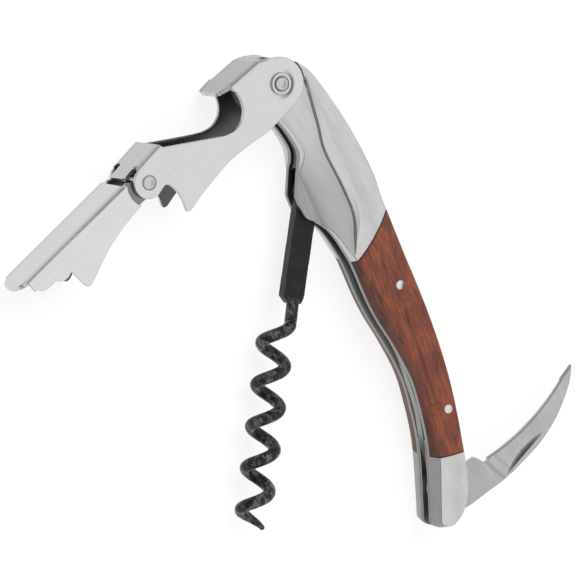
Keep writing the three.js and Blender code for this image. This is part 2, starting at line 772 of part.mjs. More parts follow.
// the narrow bevel that makes the edge: a wedge swept along it and on past the tip
function edgeGrind() {
  const width = 0.8;
  const rise = 0.38; // the bevel's height over its width
  const keep = 0.1; // half thickness left at the teeth
  const section = new THREE.Shape(points([
    [-keep + rise, width], [-keep - 2 * rise, -2 * width], [-keep - 2 * rise, width],
  ]));
  const route = [0, 0.2, 0.4, 0.6, 0.8, 1].map((share) => edge.getPoint(share));
  route.unshift(new THREE.Vector3(choil - 0.1, edge.v0.y, 0));
  route.push(new THREE.Vector3(bladeLength + 1, -0.25, 0));
  return solid(new THREE.ExtrudeGeometry(section, {
    steps: 18,
    extrudePath: new THREE.CatmullRomCurve3(route),
  }));
}

// nail nick: the cut of a large wheel that leans, so that its floor rises towards the edge and its
// straight wall faces the back of the blade
function nailNick() {
  const halfLength = 7.8;
  const depth = 0.5;
  const lean = 0.3;
  const wheel = halfLength ** 2 * Math.cos(lean) / (2 * depth);
  const nick = new THREE.CylinderGeometry(wheel, wheel, 4, 240);
  nick.rotateY(Math.PI / 240);
  nick.translate(0, 2, wheel - depth / Math.cos(lean));
  nick.rotateX(lean);
  nick.rotateZ(0.104);
  nick.translate(bladeLength * 0.503, -9.05, bladeThickness / 2);
  return solid(nick);
}

function blade() {
  const half = bladeThickness / 2;
  const body = plate(bladeOutline(), -half, half);
  const near = [faceGrind(), edgeGrind()];
  const far = near.map((tool) => tool.mirror([0, 0, 1]));
  const bore = bar(crossPinRadius + pinFit, -20, 20);
  return cut(body, ...near, ...far, nailNick(), bore);
}

// ---- assembly -----------------------------------------------------------------------------------

const corkscrew = new THREE.Group();
const handle = new THREE.Group();
handle.position.z = restHeight;
corkscrew.add(handle);

function piece(name, geometry, finish, parent = handle, x = 0, y = 0) {
  const mesh = new THREE.Mesh(geometry, new THREE.MeshStandardMaterial(finishes[finish]));
  mesh.name = name;
  mesh.position.set(x, y, 0);
  parent.add(mesh);
  return mesh;
}

// a piece on the near side, and its mirror image on the far side
function pair(name, body, finish, x = 0, y = 0) {
  const geometry = geometryOf(body);
  piece(`${name}_right`, geometry, finish, handle, x, y);
  piece(`${name}_left`, mirrored(geometry), finish, handle, x, y);
}

// a group that turns about Z at a pivot
function turningGroup(parent, x, y, angle) {
  const group = new THREE.Group();
  group.position.set(x, y, 0);
  group.rotation.z = angle;
  parent.add(group);
  return group;
}

pair('liner', liner(), 'stamped');
pair('head_bolster', headBolster(), 'brushed');
pair('scale', scale(), 'rosewood');
pair('tail_bolster', tailBolster(), 'brushed');
pair('scale_pin_front', scalePin(), 'polished', ...scalePins[0]);
pair('scale_pin_rear', scalePin(), 'polished', ...scalePins[1]);
piece('head_spacer', geometryOf(headSpacer()), 'stamped');
piece('back_spring', geometryOf(backSpring()), 'stamped');
piece('worm_pin', geometryOf(crossPin()), 'polished', handle, wormPivot.x, wormPivot.y);
piece('blade_pin', geometryOf(crossPin()), 'polished', handle, bladePivot.x, bladePivot.y);
piece('spring_pin_front', geometryOf(crossPin()), 'polished', handle, ...springPins[0]);
piece('spring_pin_rear', geometryOf(crossPin()), 'polished', handle, ...springPins[1]);
piece('lever_rivet', geometryOf(leverRivet()), 'polished');
pair('lever_washer', leverWasher(), 'polished');

const lever = turningGroup(handle, 0, 0, leverAngle);
piece('lever_arm', geometryOf(leverArm()), 'brushed', lever);
piece('hinge_rivet', geometryOf(hingeRivet()), 'polished', lever, leverLength, 0);
const step = turningGroup(lever, leverLength, 0, footAngle);
piece('lever_foot', geometryOf(leverFoot()), 'brushed', step);

const wormGroup = turningGroup(handle, wormPivot.x, wormPivot.y, wormAngle);
piece('worm', geometryOf(worm()), 'coated', wormGroup);

const bladeGroup = turningGroup(handle, bladePivot.x, bladePivot.y, bladeAngle);
piece('blade', geometryOf(blade()), 'blade', bladeGroup);

export default corkscrew;
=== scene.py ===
"""A waiter's corkscrew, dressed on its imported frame: steel, rosewood and a black coated worm.

Sizes are millimetres in the functions that draw, and metres from there on. The corkscrew lies on
its side. +X runs along the handle from the lever rivet to the tail, +Y points to the handle's back,
and every hinge turns about Z. Heights are measured from the handle's middle plane. The near side
faces up, and the corkscrew lies on the far side. Tools are drawn in axes of their own, with the pin
at the origin, and are then turned to where they stand.
"""

import math

import bmesh
import bpy
import numpy as np
from mathutils import Matrix, Vector


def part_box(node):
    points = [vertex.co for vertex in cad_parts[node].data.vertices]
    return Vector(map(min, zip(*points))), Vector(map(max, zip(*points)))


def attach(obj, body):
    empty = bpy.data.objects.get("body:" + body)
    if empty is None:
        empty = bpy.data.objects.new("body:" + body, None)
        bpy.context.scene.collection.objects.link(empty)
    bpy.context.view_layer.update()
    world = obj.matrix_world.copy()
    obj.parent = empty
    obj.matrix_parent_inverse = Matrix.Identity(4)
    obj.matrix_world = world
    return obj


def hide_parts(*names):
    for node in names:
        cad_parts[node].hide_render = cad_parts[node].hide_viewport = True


bl_info = {
    "name": "Waiter's corkscrew",
    "version": (1, 0, 0),
    "blender": (4, 5, 0),
    "location": "3D View > Sidebar > Corkscrew",
    "description": "Models and finishes the pieces of a two-step lever corkscrew",
    "category": "Object",
}

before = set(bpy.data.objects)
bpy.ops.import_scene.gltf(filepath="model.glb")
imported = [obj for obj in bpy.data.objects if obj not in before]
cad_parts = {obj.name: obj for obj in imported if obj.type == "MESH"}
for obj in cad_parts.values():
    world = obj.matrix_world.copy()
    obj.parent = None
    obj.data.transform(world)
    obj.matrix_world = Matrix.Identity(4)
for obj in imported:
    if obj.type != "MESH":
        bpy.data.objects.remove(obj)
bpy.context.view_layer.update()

MM = 0.001
rivet_low, rivet_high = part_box("lever_rivet")
MIDDLE = (rivet_low.z + rivet_high.z) / 2 / MM

# thickness of the stack, from the middle plane outwards
SPRING_HALF = 1.1
GAP_HALF = 1.6
LINER_OUTER = 2.8
SEAT = 5.2
CHEEK_OUTER = 6.6
WASHER_UNDER = 6.68
CROWN = 7.15
RIVET_TOP = 7.3

# handle: ends of the head and of the wood along X, and the planes where wood meets steel
HEAD_RADIUS = 5.8
HEAD = 47.8
GRIP = 53.0
TAIL = HEAD + GRIP
NECK = ((9, -2.2), (12.2, -1.2), (16.9, -0.43), (19.4, -1.1), (21.6, -2.55))
NECK_ANGLE = -0.5
CREST_ANGLE = 2.5
HEAD_JOINT = ((HEAD, 1.2), (HEAD - 8.7, 14.2))
TAIL_JOINT = ((TAIL, 1), (TAIL + 2.4, 9.6))
SCALE_PINS = ((HEAD + 0.18 * GRIP, 9.0), (HEAD + 0.815 * GRIP, 8.6))
PIN_TOPS = (RIVET_TOP, 7.24)

# hinges, and the angles at which the tools stand
HINGE = Vector((5.351, -39.842))
WORM_PIVOT = Vector((27.5, -0.9))
BLADE_PIVOT = Vector((TAIL + 9.7, 2.5))
LEVER_ANGLE = math.radians(-82.35)
FOOT_ANGLE = math.radians(8.1)
WORM_ANGLE = math.radians(-32.8)
BLADE_ANGLE = math.radians(102.1)

# levers, folded from sheet, and the room round the first one's end
SHEET = 1.2
BEND = 1.3
LEVER_END = 6.2
LEVER_ROOM = 0.19

# worm: the wire's, coil's and heel's radius, and where the coil runs along the shank and beside it
WIRE = 1.5
COIL_RADIUS = 3.1
HEEL_RADIUS = 3.3
COIL_PITCH = 9.9
COIL_START = 31.1
COIL_END = 80.5
COIL_AXIS = -3.5
SHANK_HALF = 1.4
WORM_SKIN = 0.18

# blade: its faces fall by the grind for each millimetre from the back, and its edge is a curve
# between the first and last place, drawn towards the middle one
BLADE_HALF = 0.85
BLADE_LENGTH = 46.1
BLADE_SKIN = 0.11
TANG_RADIUS = 4
TANG_BORE = 1.55
CHOIL = 13.4
TEETH = 44
GRIND = 0.06
EDGE = (Vector((14.4, -2.7)), Vector((28.0, -5.45)), Vector((41.6, -1.4)))


# ---- outlines ----


def grip(share):
    """A place in the wood, as a share of its length from the front."""
    return HEAD + share * GRIP


def spline(points, steps=8):
    """A smooth run through points, with the first of them left out."""
    points = [Vector(p) for p in points]
    padded = [points[0], *points, points[-1]]
    run = []
    for a, b, c, d in zip(padded, padded[1:], padded[2:], padded[3:]):
        for i in range(1, steps + 1):
            t = i / steps
            run.append(0.5 * (2 * b + (c - a) * t + (2 * a - 5 * b + 4 * c - d) * t**2
                              + (3 * b - a - 3 * c + d) * t**3))
    return run


def arc(radius, start, end, steps=24, centre=(0, 0)):
    """Points on an arc from one angle to another, in radians."""
    angles = [start + (end - start) * i / steps for i in range(steps + 1)]
    return [Vector((centre[0] + radius * math.cos(a), centre[1] + radius * math.sin(a)))
            for a in angles]


def circle(radius, steps):
    """Points round the origin, all but closed."""
    return arc(radius, 0, 6.2, steps)


class Outline(list):
    """A closed line in XY, drawn piece by piece."""

    def line(self, *points):
        self.extend(Vector(p) for p in points)
        return self

    def curve(self, *points):
        self.extend(spline([self[-1], *points]))
        return self

    def tidy(self):
        """The outline without points that lie on top of the one before."""
        return [p for p, q in zip(self, [self[-1], *self[:-1]]) if (p - q).length > 0.02]


def neck_line():
    """The start of an outline: out of the round head and along the neck."""
    return Outline(arc(HEAD_RADIUS, NECK_ANGLE, NECK_ANGLE, 1)[:1]).curve(*NECK)


def handle_outline():
    """The handle's side: belly, tail, back and the round head."""
    line = neck_line().line((26.8, -5.4))
    line.curve((29.6, -5.45), (32.6, -5.1), (34.5, -3.4), (37.2, -1.4), (40.4, -0.15), (45, 0.8),
               (HEAD + 1.2, 1.33), (grip(0.19), 1.5), (grip(0.31), 2.15), (grip(0.45), 3.5),
               (grip(0.63), 4.5), (grip(0.8), 3.55), (grip(0.94), 2.1), (TAIL + 3.2, -0.05),
               (TAIL + 11.9, -3.4), (TAIL + 15.4, -4.6), (TAIL + 17.3, -3.4), (TAIL + 18, -1.2),
               (TAIL + 17, 2), (TAIL + 14.6, 4.8), (TAIL + 11.3, 6.9), (TAIL + 6.5, 8.5),
               (TAIL, 10), (grip(0.8), 12.2), (grip(0.58), 13.8), (grip(0.33), 14.5),
               (grip(0.05), 14.4), (39, 14.4), (28.8, 14.2), (20.8, 13.4), (13.7, 12.2), (7, 10.6),
               (1.4, 8.85), (-0.9, 7.6), (-2.8, 6.2))
    line.line(*arc(HEAD_RADIUS, CREST_ANGLE, 2 * math.pi + NECK_ANGLE, 40))
    return line.tidy()


def outward(line):
    """The outward direction at every point of a closed anticlockwise line."""
    found = []
    for before, after in zip([line[-1], *line[:-1]], [*line[1:], line[0]]):
        along = (after - before).normalized()
        found.append(Vector((along.y, -along.x)))
    return found


# ---- solids ----


def finished(bm, name):
    """A bmesh as an object, with its faces turned outwards."""
    bmesh.ops.recalc_face_normals(bm, faces=bm.faces)
    mesh = bpy.data.meshes.new(name)
    bm.to_mesh(mesh)
    bm.free()
    piece = bpy.data.objects.new(name, mesh)
    bpy.context.scene.collection.objects.link(piece)
    return piece


def loft(name, rings):
    """A solid through closed rings of as many points each, made by extruding its end face."""
    bm = bmesh.new()
    end = bm.faces.new([bm.verts.new(p) for p in rings[0]])
    places = [Vector(p) for p in rings[0]]
    for number, ring in enumerate(rings[1:]):
        lookup = {p.to_tuple(5): i for i, p in enumerate(places)}
        grown = bmesh.ops.extrude_face_region(bm, geom=[end])["geom"]
        fresh = next(g for g in grown if isinstance(g, bmesh.types.BMFace))
        for vert in fresh.verts:
            vert.co = ring[lookup[vert.co.to_tuple(5)]]
        places = [Vector(p) for p in ring]
        # the first face closes the solid, and each later one would be left inside it
        if number > 0 and end.is_valid:
            bmesh.ops.delete(bm, geom=[end], context="FACES_ONLY")
        end = fresh
    return finished(bm, name)


def raised(line, height):
    """A line in XY, put at a height."""
    return [Vector((p.x, p.y, height)) for p in line]


def plate(name, line, low, high):
    """An outline made a plate between two heights."""
    return loft(name, [raised(line, low), raised(line, high)])


def settled(piece):
    """Replaces a piece's mesh by what its modifiers make of it."""
    graph = bpy.context.evaluated_depsgraph_get()
    graph.update()
    mesh = bpy.data.meshes.new_from_object(piece.evaluated_get(graph))
    mesh.name = piece.name
    before = piece.data
    piece.modifiers.clear()
    piece.data = mesh
    bpy.data.meshes.remove(before)
    return piece


def shaped(piece, operation, *tools):
    """Adds tools to a piece, cuts them away or keeps what it shares with them. They are used up."""
    for tool in tools:
        change = piece.modifiers.new("shape", "BOOLEAN")
        change.operation = operation
        change.solver = "EXACT"
        change.object = tool
    settled(piece)
    for tool in tools:
        bpy.data.objects.remove(tool)
    return piece


def softened(piece, voxel, rounds):
    """Skins a piece anew with an even net, and rounds its edges over."""
    skin = piece.modifiers.new("skin", "REMESH")
    skin.mode = "VOXEL"
    skin.voxel_size = voxel
    smooth = piece.modifiers.new("smooth", "SMOOTH")
    smooth.factor = 0.5
    smooth.iterations = rounds
    return settled(piece)


def far_side(piece, name):
    """A copy of a piece on the other side of the middle plane."""
    bm = bmesh.new()
    bm.from_mesh(piece.data)
    bmesh.ops.scale(bm, vec=(1, 1, -1), verts=bm.verts)
    return finished(bm, name)


def with_parts(piece, *parts):
    """A piece with others that run into it added to its mesh, which a new skin then joins."""
    bm = bmesh.new()
    for each in (piece, *parts):
        bm.from_mesh(each.data)
    whole = finished(bm, piece.name)
    for used in (piece, *parts):
        bpy.data.objects.remove(used)
    return whole


def turned(name, profile):
    """A turned solid: its profile of (radius, height) is closed, or starts and ends on the axis."""
    bm = bmesh.new()
    verts = [bm.verts.new((r, 0, z)) for r, z in profile]
    closed = profile[0][0] > 0 and profile[-1][0] > 0
    pairs = list(zip(verts, verts[1:])) + ([(verts[-1], verts[0])] if closed else [])
    edges = [bm.edges.new(pair) for pair in pairs]
    bmesh.ops.spin(bm, geom=verts + edges, cent=(0, 0, 0), axis=(0, 0, 1), angle=2 * math.pi,
                   steps=64, use_merge=True)
    bmesh.ops.remove_doubles(bm, verts=bm.verts, dist=0.0005)
    return finished(bm, name)


def both_ends(half):
    """The whole profile of a pin whose two ends are alike, from its upper half."""
    return [(r, -z) for r, z in reversed(half)] + half[1:]


def shifted(piece, x, y):
    """Moves a piece's mesh in XY."""
    piece.data.transform(Matrix.Translation((x, y, 0)))
    return piece


def copy_of(node, angle, pivot):
    """A CAD node's mesh, merged, in millimetres and in the axes of the tool that it belongs to."""
    bm = bmesh.new()
    bm.from_mesh(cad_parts[node].data)
    own_axes = (Matrix.Rotation(-angle, 4, "Z")
                @ Matrix.Translation((-pivot[0], -pivot[1], -MIDDLE)) @ Matrix.Scale(1 / MM, 4))
    bmesh.ops.transform(bm, matrix=own_axes, verts=bm.verts)
    bmesh.ops.remove_doubles(bm, verts=bm.verts, dist=0.0005)
    return finished(bm, node)


def back_in_place(piece, angle, pivot):
    """Turns a piece from a tool's own axes to the handle's."""
    piece.data.transform(Matrix.Translation((pivot[0], pivot[1], 0))
                         @ Matrix.Rotation(angle, 4, "Z"))
    return piece


def placed(piece, name, body, slot, finish, *nodes, sharp=None):
    """Puts a piece drawn in millimetres into the frame, in metres, and dresses it."""
    mesh = piece.data
    mesh.transform(Matrix.Scale(MM, 4) @ Matrix.Translation((0, 0, MIDDLE)))
    mesh.materials.clear()
    mesh.materials.append(finish)
    mesh.shade_smooth()
    if sharp is not None:
        mesh.set_sharp_from_angle(angle=math.radians(sharp))
    piece.name = name
    mesh.name = name
    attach(piece, body)
    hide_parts(*nodes)
    return piece


def both_sides(near, name, slot, finish, node, sharp=None):
    """Puts a piece of the handle in its place, and its mirror image on the far side."""
    far = far_side(near, f"{name}_far")
    placed(near, f"{name}_near", "handle", slot, finish, f"{node}_right", sharp=sharp)
    placed(far, f"{name}_far", "handle", slot, finish, f"{node}_left", sharp=sharp)


# ---- where shade and light are painted into the finishes ----
# Each rule takes the places and the normals of a piece's points, and gives shares from 0 to 1.


def shaded(piece, rule, name="shade"):
    """Marks a piece's points with the shares that a rule gives, for its finish to read."""
    mesh = piece.data
    places = np.empty(len(mesh.vertices) * 3, np.float32)
    normals = np.empty(len(mesh.vertices) * 3, np.float32)
    mesh.vertices.foreach_get("co", places)
    mesh.vertex_normals.foreach_get("vector", normals)
    share = rule(*places.reshape(-1, 3).T, *normals.reshape(-1, 3).T)
    mark = mesh.attributes.new(name, "FLOAT", "POINT")
    mark.data.foreach_set("value", np.clip(share, 0, 1).astype(np.float32))
    return piece


def soft(value, low, high):
    """Runs smoothly from 0 to 1 as the value passes from low to high."""
    share = np.clip((value - low) / (high - low), 0, 1)
    return share * share * (3 - 2 * share)


def bell(value, middle, width):
    """1 at the middle, and next to nothing from twice the width on."""
    return np.exp(-((value - middle) / width) ** 2)


def darkest(share, *others):
    """The greatest of some shares, point by point."""
    for other in others:
        share = np.maximum(share, other)
    return share


def inner_face(z, nz):
    """Faces of a plate or channel that look towards the middle plane."""
    return np.clip(-nz * np.sign(z) * 2 - 0.3, 0, 1)


def liner_painted_shade(x, y, z, nx, ny, nz):
    """Painted shade on a liner's inner face, lighter where the spring lies near the belly."""
    return inner_face(z, nz) * (1 - 0.7 * soft(x, 40, 52))


def spring_painted_shade(x, y, z, nx, ny, nz):
    """Painted shade on the spring's thin end, deep in the blade's slot."""
    return 0.9 * soft(x, 94, 99)


def spacer_painted_shade(x, y, z, nx, ny, nz):
    """Painted shade over the whole spacer, since it lies deep between the liners."""
    return np.full_like(x, 0.75)


def folded(y, z, ny, nz):
    """Painted shade on the inside of a folded sheet's web, and in a band along its bends."""
    web = np.clip(ny * 2 - 0.6, 0, 1) * (y < -1.0) * (np.abs(z) < 5.6)
    bend = 0.3 * bell(np.abs(nz), 0.4, 0.24) * (ny < -0.3) * (np.abs(z) > 4.8)
    return np.maximum(web, bend)


def lever_painted_shade(x, y, z, nx, ny, nz):
    """Painted shade on the first lever: its inside, its two webs, and a crescent of painted shadow
    beside the washer.
    """
    reach = np.hypot(x, y)
    # shares of painted shade on the two webs, more on the cap lifter's
    cap_web = 0.33
    step_web = 0.16
    web = np.where(x > 20, step_web, cap_web) + 0.2 * soft(np.abs(z), 3.9, 5.5)
    hidden = inner_face(z, nz) * soft(reach, LEVER_END, 7.4)
    lee = np.clip((y - x) * 0.8 / np.maximum(reach, 0.01), 0, 1) * (nz > 0.5)
    return darkest(folded(y, z, ny, nz), web * (ny < -0.8), hidden, lee * bell(reach, 3.1, 0.42))


def foot_painted_shade(x, y, z, nx, ny, nz):
    """Painted shade on the second lever: its inside, its web, and the step where its ears are set
    in.
    """
    reach = np.hypot(x, y)
    inner, outer, half_width = 2.9, 5.35, 6.3
    step = 0.8 * (reach > inner) * (reach < outer) * (np.abs(z) < half_width) * (x > 0)
    web = 0.3 * soft(np.abs(z), 3.7, 5.5) * (ny < -0.8)
    return darkest(folded(y, z, ny, nz), web, inner_face(z, nz), step)


def bolster_painted_shade(x, y, z, nx, ny, nz):
    """Painted shade on the wall round the milled flat, as a dip along the crown and on the tail's
    belly side; the milled flat itself is made darker, more so away from the head.
    """
    head = x < HEAD
    low = soft(-np.abs(z), -SEAT - 0.25, -SEAT - 0.1)
    flat = (0.1 + 0.26 * soft(x, 8, 32)) * soft(nz, 0.45, 0.75) * low * head
    crest = (0.05 + 0.13 * bell(ny, 0.03, 0.13)) * (1 - low) * (nz > 0.5)
    beside_flat = (z > SEAT - 0.1) * (z < SEAT + 1.1) * (y > 0) * head
    wall = 0.38 * soft(-nz, -0.75, -0.4) * beside_flat * soft(np.hypot(x, y), 7.6, 8.6)
    belly = 0.6 * soft(-ny, 0.4, 0.65) * (x > HEAD)
    return darkest(flat, crest, wall, belly)


def wood_shade_and_joints(x, y, z, nx, ny, nz):
    """Painted shade on the wood's belly side, and a thin dark line where it meets the steel."""
    belly = 0.5 * soft(-ny, 0.15, 0.45) * soft(-z, -6.2, -3.6)
    ends = 0
    for low, high, way in ((*HEAD_JOINT, 1), (*TAIL_JOINT, -1)):
        along = (Vector(high) - Vector(low)).normalized()
        off = ((x - low[0]) * along.y - (y - low[1]) * along.x) * way
        ends = np.maximum(ends, 0.9 * soft(-off, -0.45, -0.2))
    return np.maximum(belly, ends)


def edge_height(x):
    """Where the blade's edge runs, in its own axes."""
    first, middle, last = EDGE
    t = np.clip((x - first.x) / (last.x - first.x), 0, 1)
    along = (1 - t) ** 2 * first.y + 2 * t * (1 - t) * middle.y + t * t * last.y
    return along + np.clip(x - last.x, 0, 9) * 0.24


def blade_painted_shade(x, y, z, nx, ny, nz):
    """Painted shade along the edge behind the teeth, in the nail nick and as lines where the grind
    starts; the tang is made a little darker.
    """
    edge = 0.5 * soft(y - edge_height(x), -0.62, -0.48) * (x > CHOIL + 0.8)
    face = BLADE_HALF - np.clip(x - CHOIL, 0, 1) * GRIND * (y + 10)
    deep = (face - z - 0.035) / 0.42
    nick = (0.6 + 0.4 * np.clip(deep, 0, 1)) * (deep > 0) * (z > 0) * (y < -5) * (x > 14.5)
    first_line = 0.3 * bell(x + 0.25 * y, CHOIL - 1.2, 0.45)
    second_line = 0.2 * bell(x + 0.2 * y, CHOIL + 2.0, 0.4)
    tang = 0.1 * (x < CHOIL - 1.5)
    return darkest(edge, nick, first_line + second_line, tang) * (np.abs(nz) > 0.3)


def shank_sides(x, y, z, nx, ny, nz):
    """The narrow sides of the worm's shank, where a lighter sheen is painted."""
    return soft(np.abs(ny), 0.7, 0.9) * soft(-x, -27, -26)


def wound_part(x, y, z, nx, ny, nz):
    """The worm's wire, where mottled highlights are painted; the shank gets none."""
    return (x - 25) / 4


def rings_of(px, py, *bands):
    """Rings of painted shade about a pin's axis: (radius, width, share, share more on the side in
    shade).
    """
    def rule(x, y, z, nx, ny, nz):
        reach = np.hypot(x - px, y - py)
        side = ((y - py) * 0.8 + (x - px) * 0.6) / np.maximum(reach, 0.01)
        return darkest(*(bell(reach, radius, width) * (share + more * np.clip(side, -0.2, 1))
                         for radius, width, share, more in bands))
    return rule


# ---- finishes ----


class Value:
    """A shader socket that can be added, multiplied and so on."""

    def __init__(self, nodes, socket):
        self.nodes = nodes
        self.socket = socket

    def maths(self, operation, other):
        return self.nodes.node("ShaderNodeMath", {"operation": operation}, self, other)

    def __add__(self, other):
        return self.maths("ADD", other)

    def __mul__(self, other):
        return self.maths("MULTIPLY", other)

    def __sub__(self, other):
        return self.maths("SUBTRACT", other)

    def __rsub__(self, other):
        return (self * -1.0) + other

    def steps(self, low, high, to_low=0.0, to_high=1.0):
        """Runs smoothly from one value to another as this one passes from low to high."""
        return self.nodes.node("ShaderNodeMapRange", {"interpolation_type": "SMOOTHSTEP"},
                               self, low, high, to_low, to_high)


class Nodes:
    """A node tree that is added to."""

    def __init__(self, tree):
        self.tree = tree

    def node(self, kind, settings=None, *inputs, out=0, **named):
        """A node with its settings, the values or links of its sockets, and one output to use."""
        made = self.tree.nodes.new(kind)
        for key, value in (settings or {}).items():
            setattr(made, key, value)
        for place, value in [*enumerate(inputs), *named.items()]:
            self.feed(made.inputs[place], value)
        return Value(self, made.outputs[out])

    def feed(self, socket, value):
        """Links a socket or sets it, and leaves it alone for None."""
        if isinstance(value, Value):
            self.tree.links.new(value.socket, socket)
        elif value is not None:
            socket.default_value = value

    def own(self, kind):
        """The node of a kind that the tree came with."""
        return next(node for node in self.tree.nodes if node.type == kind)


class Finish(Nodes):
    """A material, and the nodes that make its pattern."""

    def __init__(self, name):
        self.material = bpy.data.materials.new(name)
        self.material.use_nodes = True
        super().__init__(self.material.node_tree)
        self.shader = self.own("BSDF_PRINCIPLED")

    def place(self, turn, stretch):
        """Object coordinates, turned back about Z and stretched."""
        where = self.node("ShaderNodeTexCoord", out=3)
        along = self.node("ShaderNodeMapping", {}, where, (0, 0, 0), (0, 0, -turn), (1, 1, 1))
        return self.node("ShaderNodeMapping", {}, along, (0, 0, 0), (0, 0, 0), stretch)

    def noise(self, turn, stretch, detail, roughness, distortion=0.0):
        """Noise with as many waves to the metre along each axis as the stretch says."""
        return self.node("ShaderNodeTexNoise", {}, Vector=self.place(turn, stretch), Scale=1.0,
                         Detail=detail, Roughness=roughness, Distortion=distortion)

    def mark(self, name="shade"):
        """The shares that a piece's points are marked with."""
        return self.node("ShaderNodeAttribute", {"attribute_name": name}, out=2)

    def mix(self, share, first, second):
        """A colour between two others."""
        unused = [None] * 5
        return self.node("ShaderNodeMix", {"data_type": "RGBA"}, share, *unused, first, second,
                         out=2)

    def set(self, **inputs):
        for name, value in inputs.items():
            self.feed(self.shader.inputs[name.replace("_", " ")], value)
        return self

    def bump(self, height, strength, distance):
        normal = self.node("ShaderNodeBump", {}, Strength=strength, Distance=distance,
                           Height=height)
        return self.set(Normal=normal)


def rgb(colour, gain=1.0):
    """A colour, made lighter or darker, for a socket."""
    return (*(min(1.0, c * gain) for c in colour), 1.0)


def brushed(name, colour, turn, roughness, depth=0.12, streak=0.035):
    """Steel with fine grinding lines along one direction, and painted shade where a piece is
    marked.
    """
    finish = Finish(name)
    lines = finish.noise(turn, (140, 5200, 5200), 2.0, 0.6)
    broad = finish.noise(turn, (50, 900, 900), 2.0, 0.5)
    cloud = finish.noise(turn, (160, 220, 220), 4.0, 0.6)
    tone = lines * 0.4 + broad * 0.25 + cloud * 0.35
    steel = finish.mix(tone.steps(0.35, 0.65), rgb(colour, 1 - streak), rgb(colour, 1 + streak))
    # painted shade: darker where the piece's points are marked
    steel = finish.mix(finish.mark(), steel, rgb(colour, 0.16))
    finish.set(Base_Color=steel, Metallic=1.0,
               Roughness=(lines - 0.5) * 0.14 + (cloud - 0.5) * 0.16 + roughness)
    return finish.bump(lines * 0.7 + cloud * 0.3, depth, 0.00002).material


def polished(name, colour):
    """Polished steel with faint wear, and painted shade where a piece is marked."""
    finish = Finish(name)
    wear = finish.noise(0, (900, 900, 900), 3.0, 0.6)
    steel = finish.mix(wear, rgb(colour, 0.9), rgb(colour))
    # painted shade: darker where the piece's points are marked
    steel = finish.mix(finish.mark(), steel, rgb(colour, 0.1))
    finish.set(Base_Color=steel, Metallic=1.0, Roughness=(wear - 0.5) * 0.24 + 0.14)
    return finish.bump(wear, 0.35, 0.00006).material


def rosewood(name, brown, patch, dark):
    """Oiled reddish wood: streaks and patches that run along the handle, painted shade on its belly
    side and dark lines at its joints.
    """
    finish = Finish(name)
    turn = math.radians(-3)
    fine = finish.noise(turn, (110, 1700, 1100), 4.0, 0.65, 0.3)
    bands = finish.noise(turn, (75, 420, 340), 5.0, 0.62, 1.1)
    patches = finish.noise(turn, (120, 230, 200), 5.0, 0.6, 0.8)
    pores = finish.noise(turn, (420, 4200, 3000), 2.0, 0.5)
    colour = finish.mix(patches.steps(0.4, 0.64), rgb(brown), rgb(patch))
    colour = finish.mix(bands.steps(0.5, 0.66, 0.0, 0.8), colour, rgb(dark))
    colour = finish.mix(fine.steps(0.42, 0.7, 0.0, 0.5), colour, rgb(dark))
    colour = finish.mix(pores.steps(0.6, 0.72, 0.0, 0.55), colour, rgb(dark, 0.45))
    # painted shade on the belly side, and the dark joint lines, where the piece is marked
    colour = finish.mix(finish.mark(), colour, rgb(dark, 0.55))
    finish.set(Base_Color=colour, Roughness=(fine - 0.5) * 0.25 + 0.46, Specular_IOR_Level=0.3)
    return finish.bump(pores * -0.6 + fine * 0.4, 0.25, 0.00006).material


def coating(name, colour):
    """A black coating, with mottled highlights painted over the wire and a lighter sheen painted on
    the shank's sides.
    """
    finish = Finish(name)
    mottle = finish.noise(0, (420, 420, 420), 4.0, 0.65, 0.8)
    streaks = finish.noise(WORM_ANGLE + 0.5, (350, 1500, 1500), 3.0, 0.6, 0.3)
    grit = finish.noise(0, (2600, 2600, 2600), 2.0, 0.6)
    wound = finish.mark()
    # patches of painted highlight over the wire, which are glossier too
    highlight_patches = (mottle * 0.6 + streaks * 0.4).steps(0.46, 0.62) * (wound * 0.96 + 0.04)
    tone = finish.mix(highlight_patches, rgb(colour), rgb(colour, 19))
    # a painted lighter sheen on the shank's narrow sides
    tone = finish.mix(finish.mark("side") * (mottle * 0.7 + 0.2), tone, rgb(colour, 11))
    finish.set(Base_Color=tone, Metallic=0.0, Roughness=0.5 - highlight_patches * 0.3 - wound * 0.12,
               Specular_IOR_Level=0.26)
    return finish.bump(mottle * 0.6 + grit * 0.4, 0.3, 0.0001).material


# ---- sizes and colours that a user may change ----


def length(name, description, default, **limits):
    return bpy.props.FloatProperty(name=name, description=description, default=default,
                                   precision=5, subtype="DISTANCE", unit="LENGTH", **limits)


def colour(name, description, default):
    return bpy.props.FloatVectorProperty(name=name, description=description, size=3,
                                         default=default, subtype="COLOR")


class CorkscrewSizes(bpy.types.PropertyGroup):
    """Sizes of the dressed pieces."""

    skin: length("Skin", "Spacing of the net that covers the soft-edged pieces", 0.00016,
                 min=0.0001, max=0.001)
    washer: length("Washer radius", "Outer radius of the washer on the lever rivet", 0.00265)


class CorkscrewColours(bpy.types.PropertyGroup):
    """Colours of the finishes."""

    bolster: colour("Bolster steel", "Head and tail bolsters", (0.61, 0.61, 0.605))
    lever: colour("Lever steel", "The two folded levers", (0.64, 0.64, 0.635))
    stamped: colour("Stamped steel", "Liners, spring and spacer", (0.34, 0.345, 0.335))
    blade: colour("Blade steel", "The foil cutter", (0.45, 0.45, 0.445))
    pins: colour("Pins", "Rivets, washers and pins", (0.72, 0.72, 0.72))
    wood: colour("Wood", "Main colour of the scales", (0.192, 0.056, 0.034))
    wood_patch: colour("Wood patches", "Lighter colour in the scales", (0.3, 0.084, 0.038))
    wood_streak: colour("Wood streaks", "Dark colour in the scales", (0.068, 0.026, 0.023))
    coat: colour("Coating", "The worm's coating", (0.0075, 0.0075, 0.0075))


# ---- handle ----


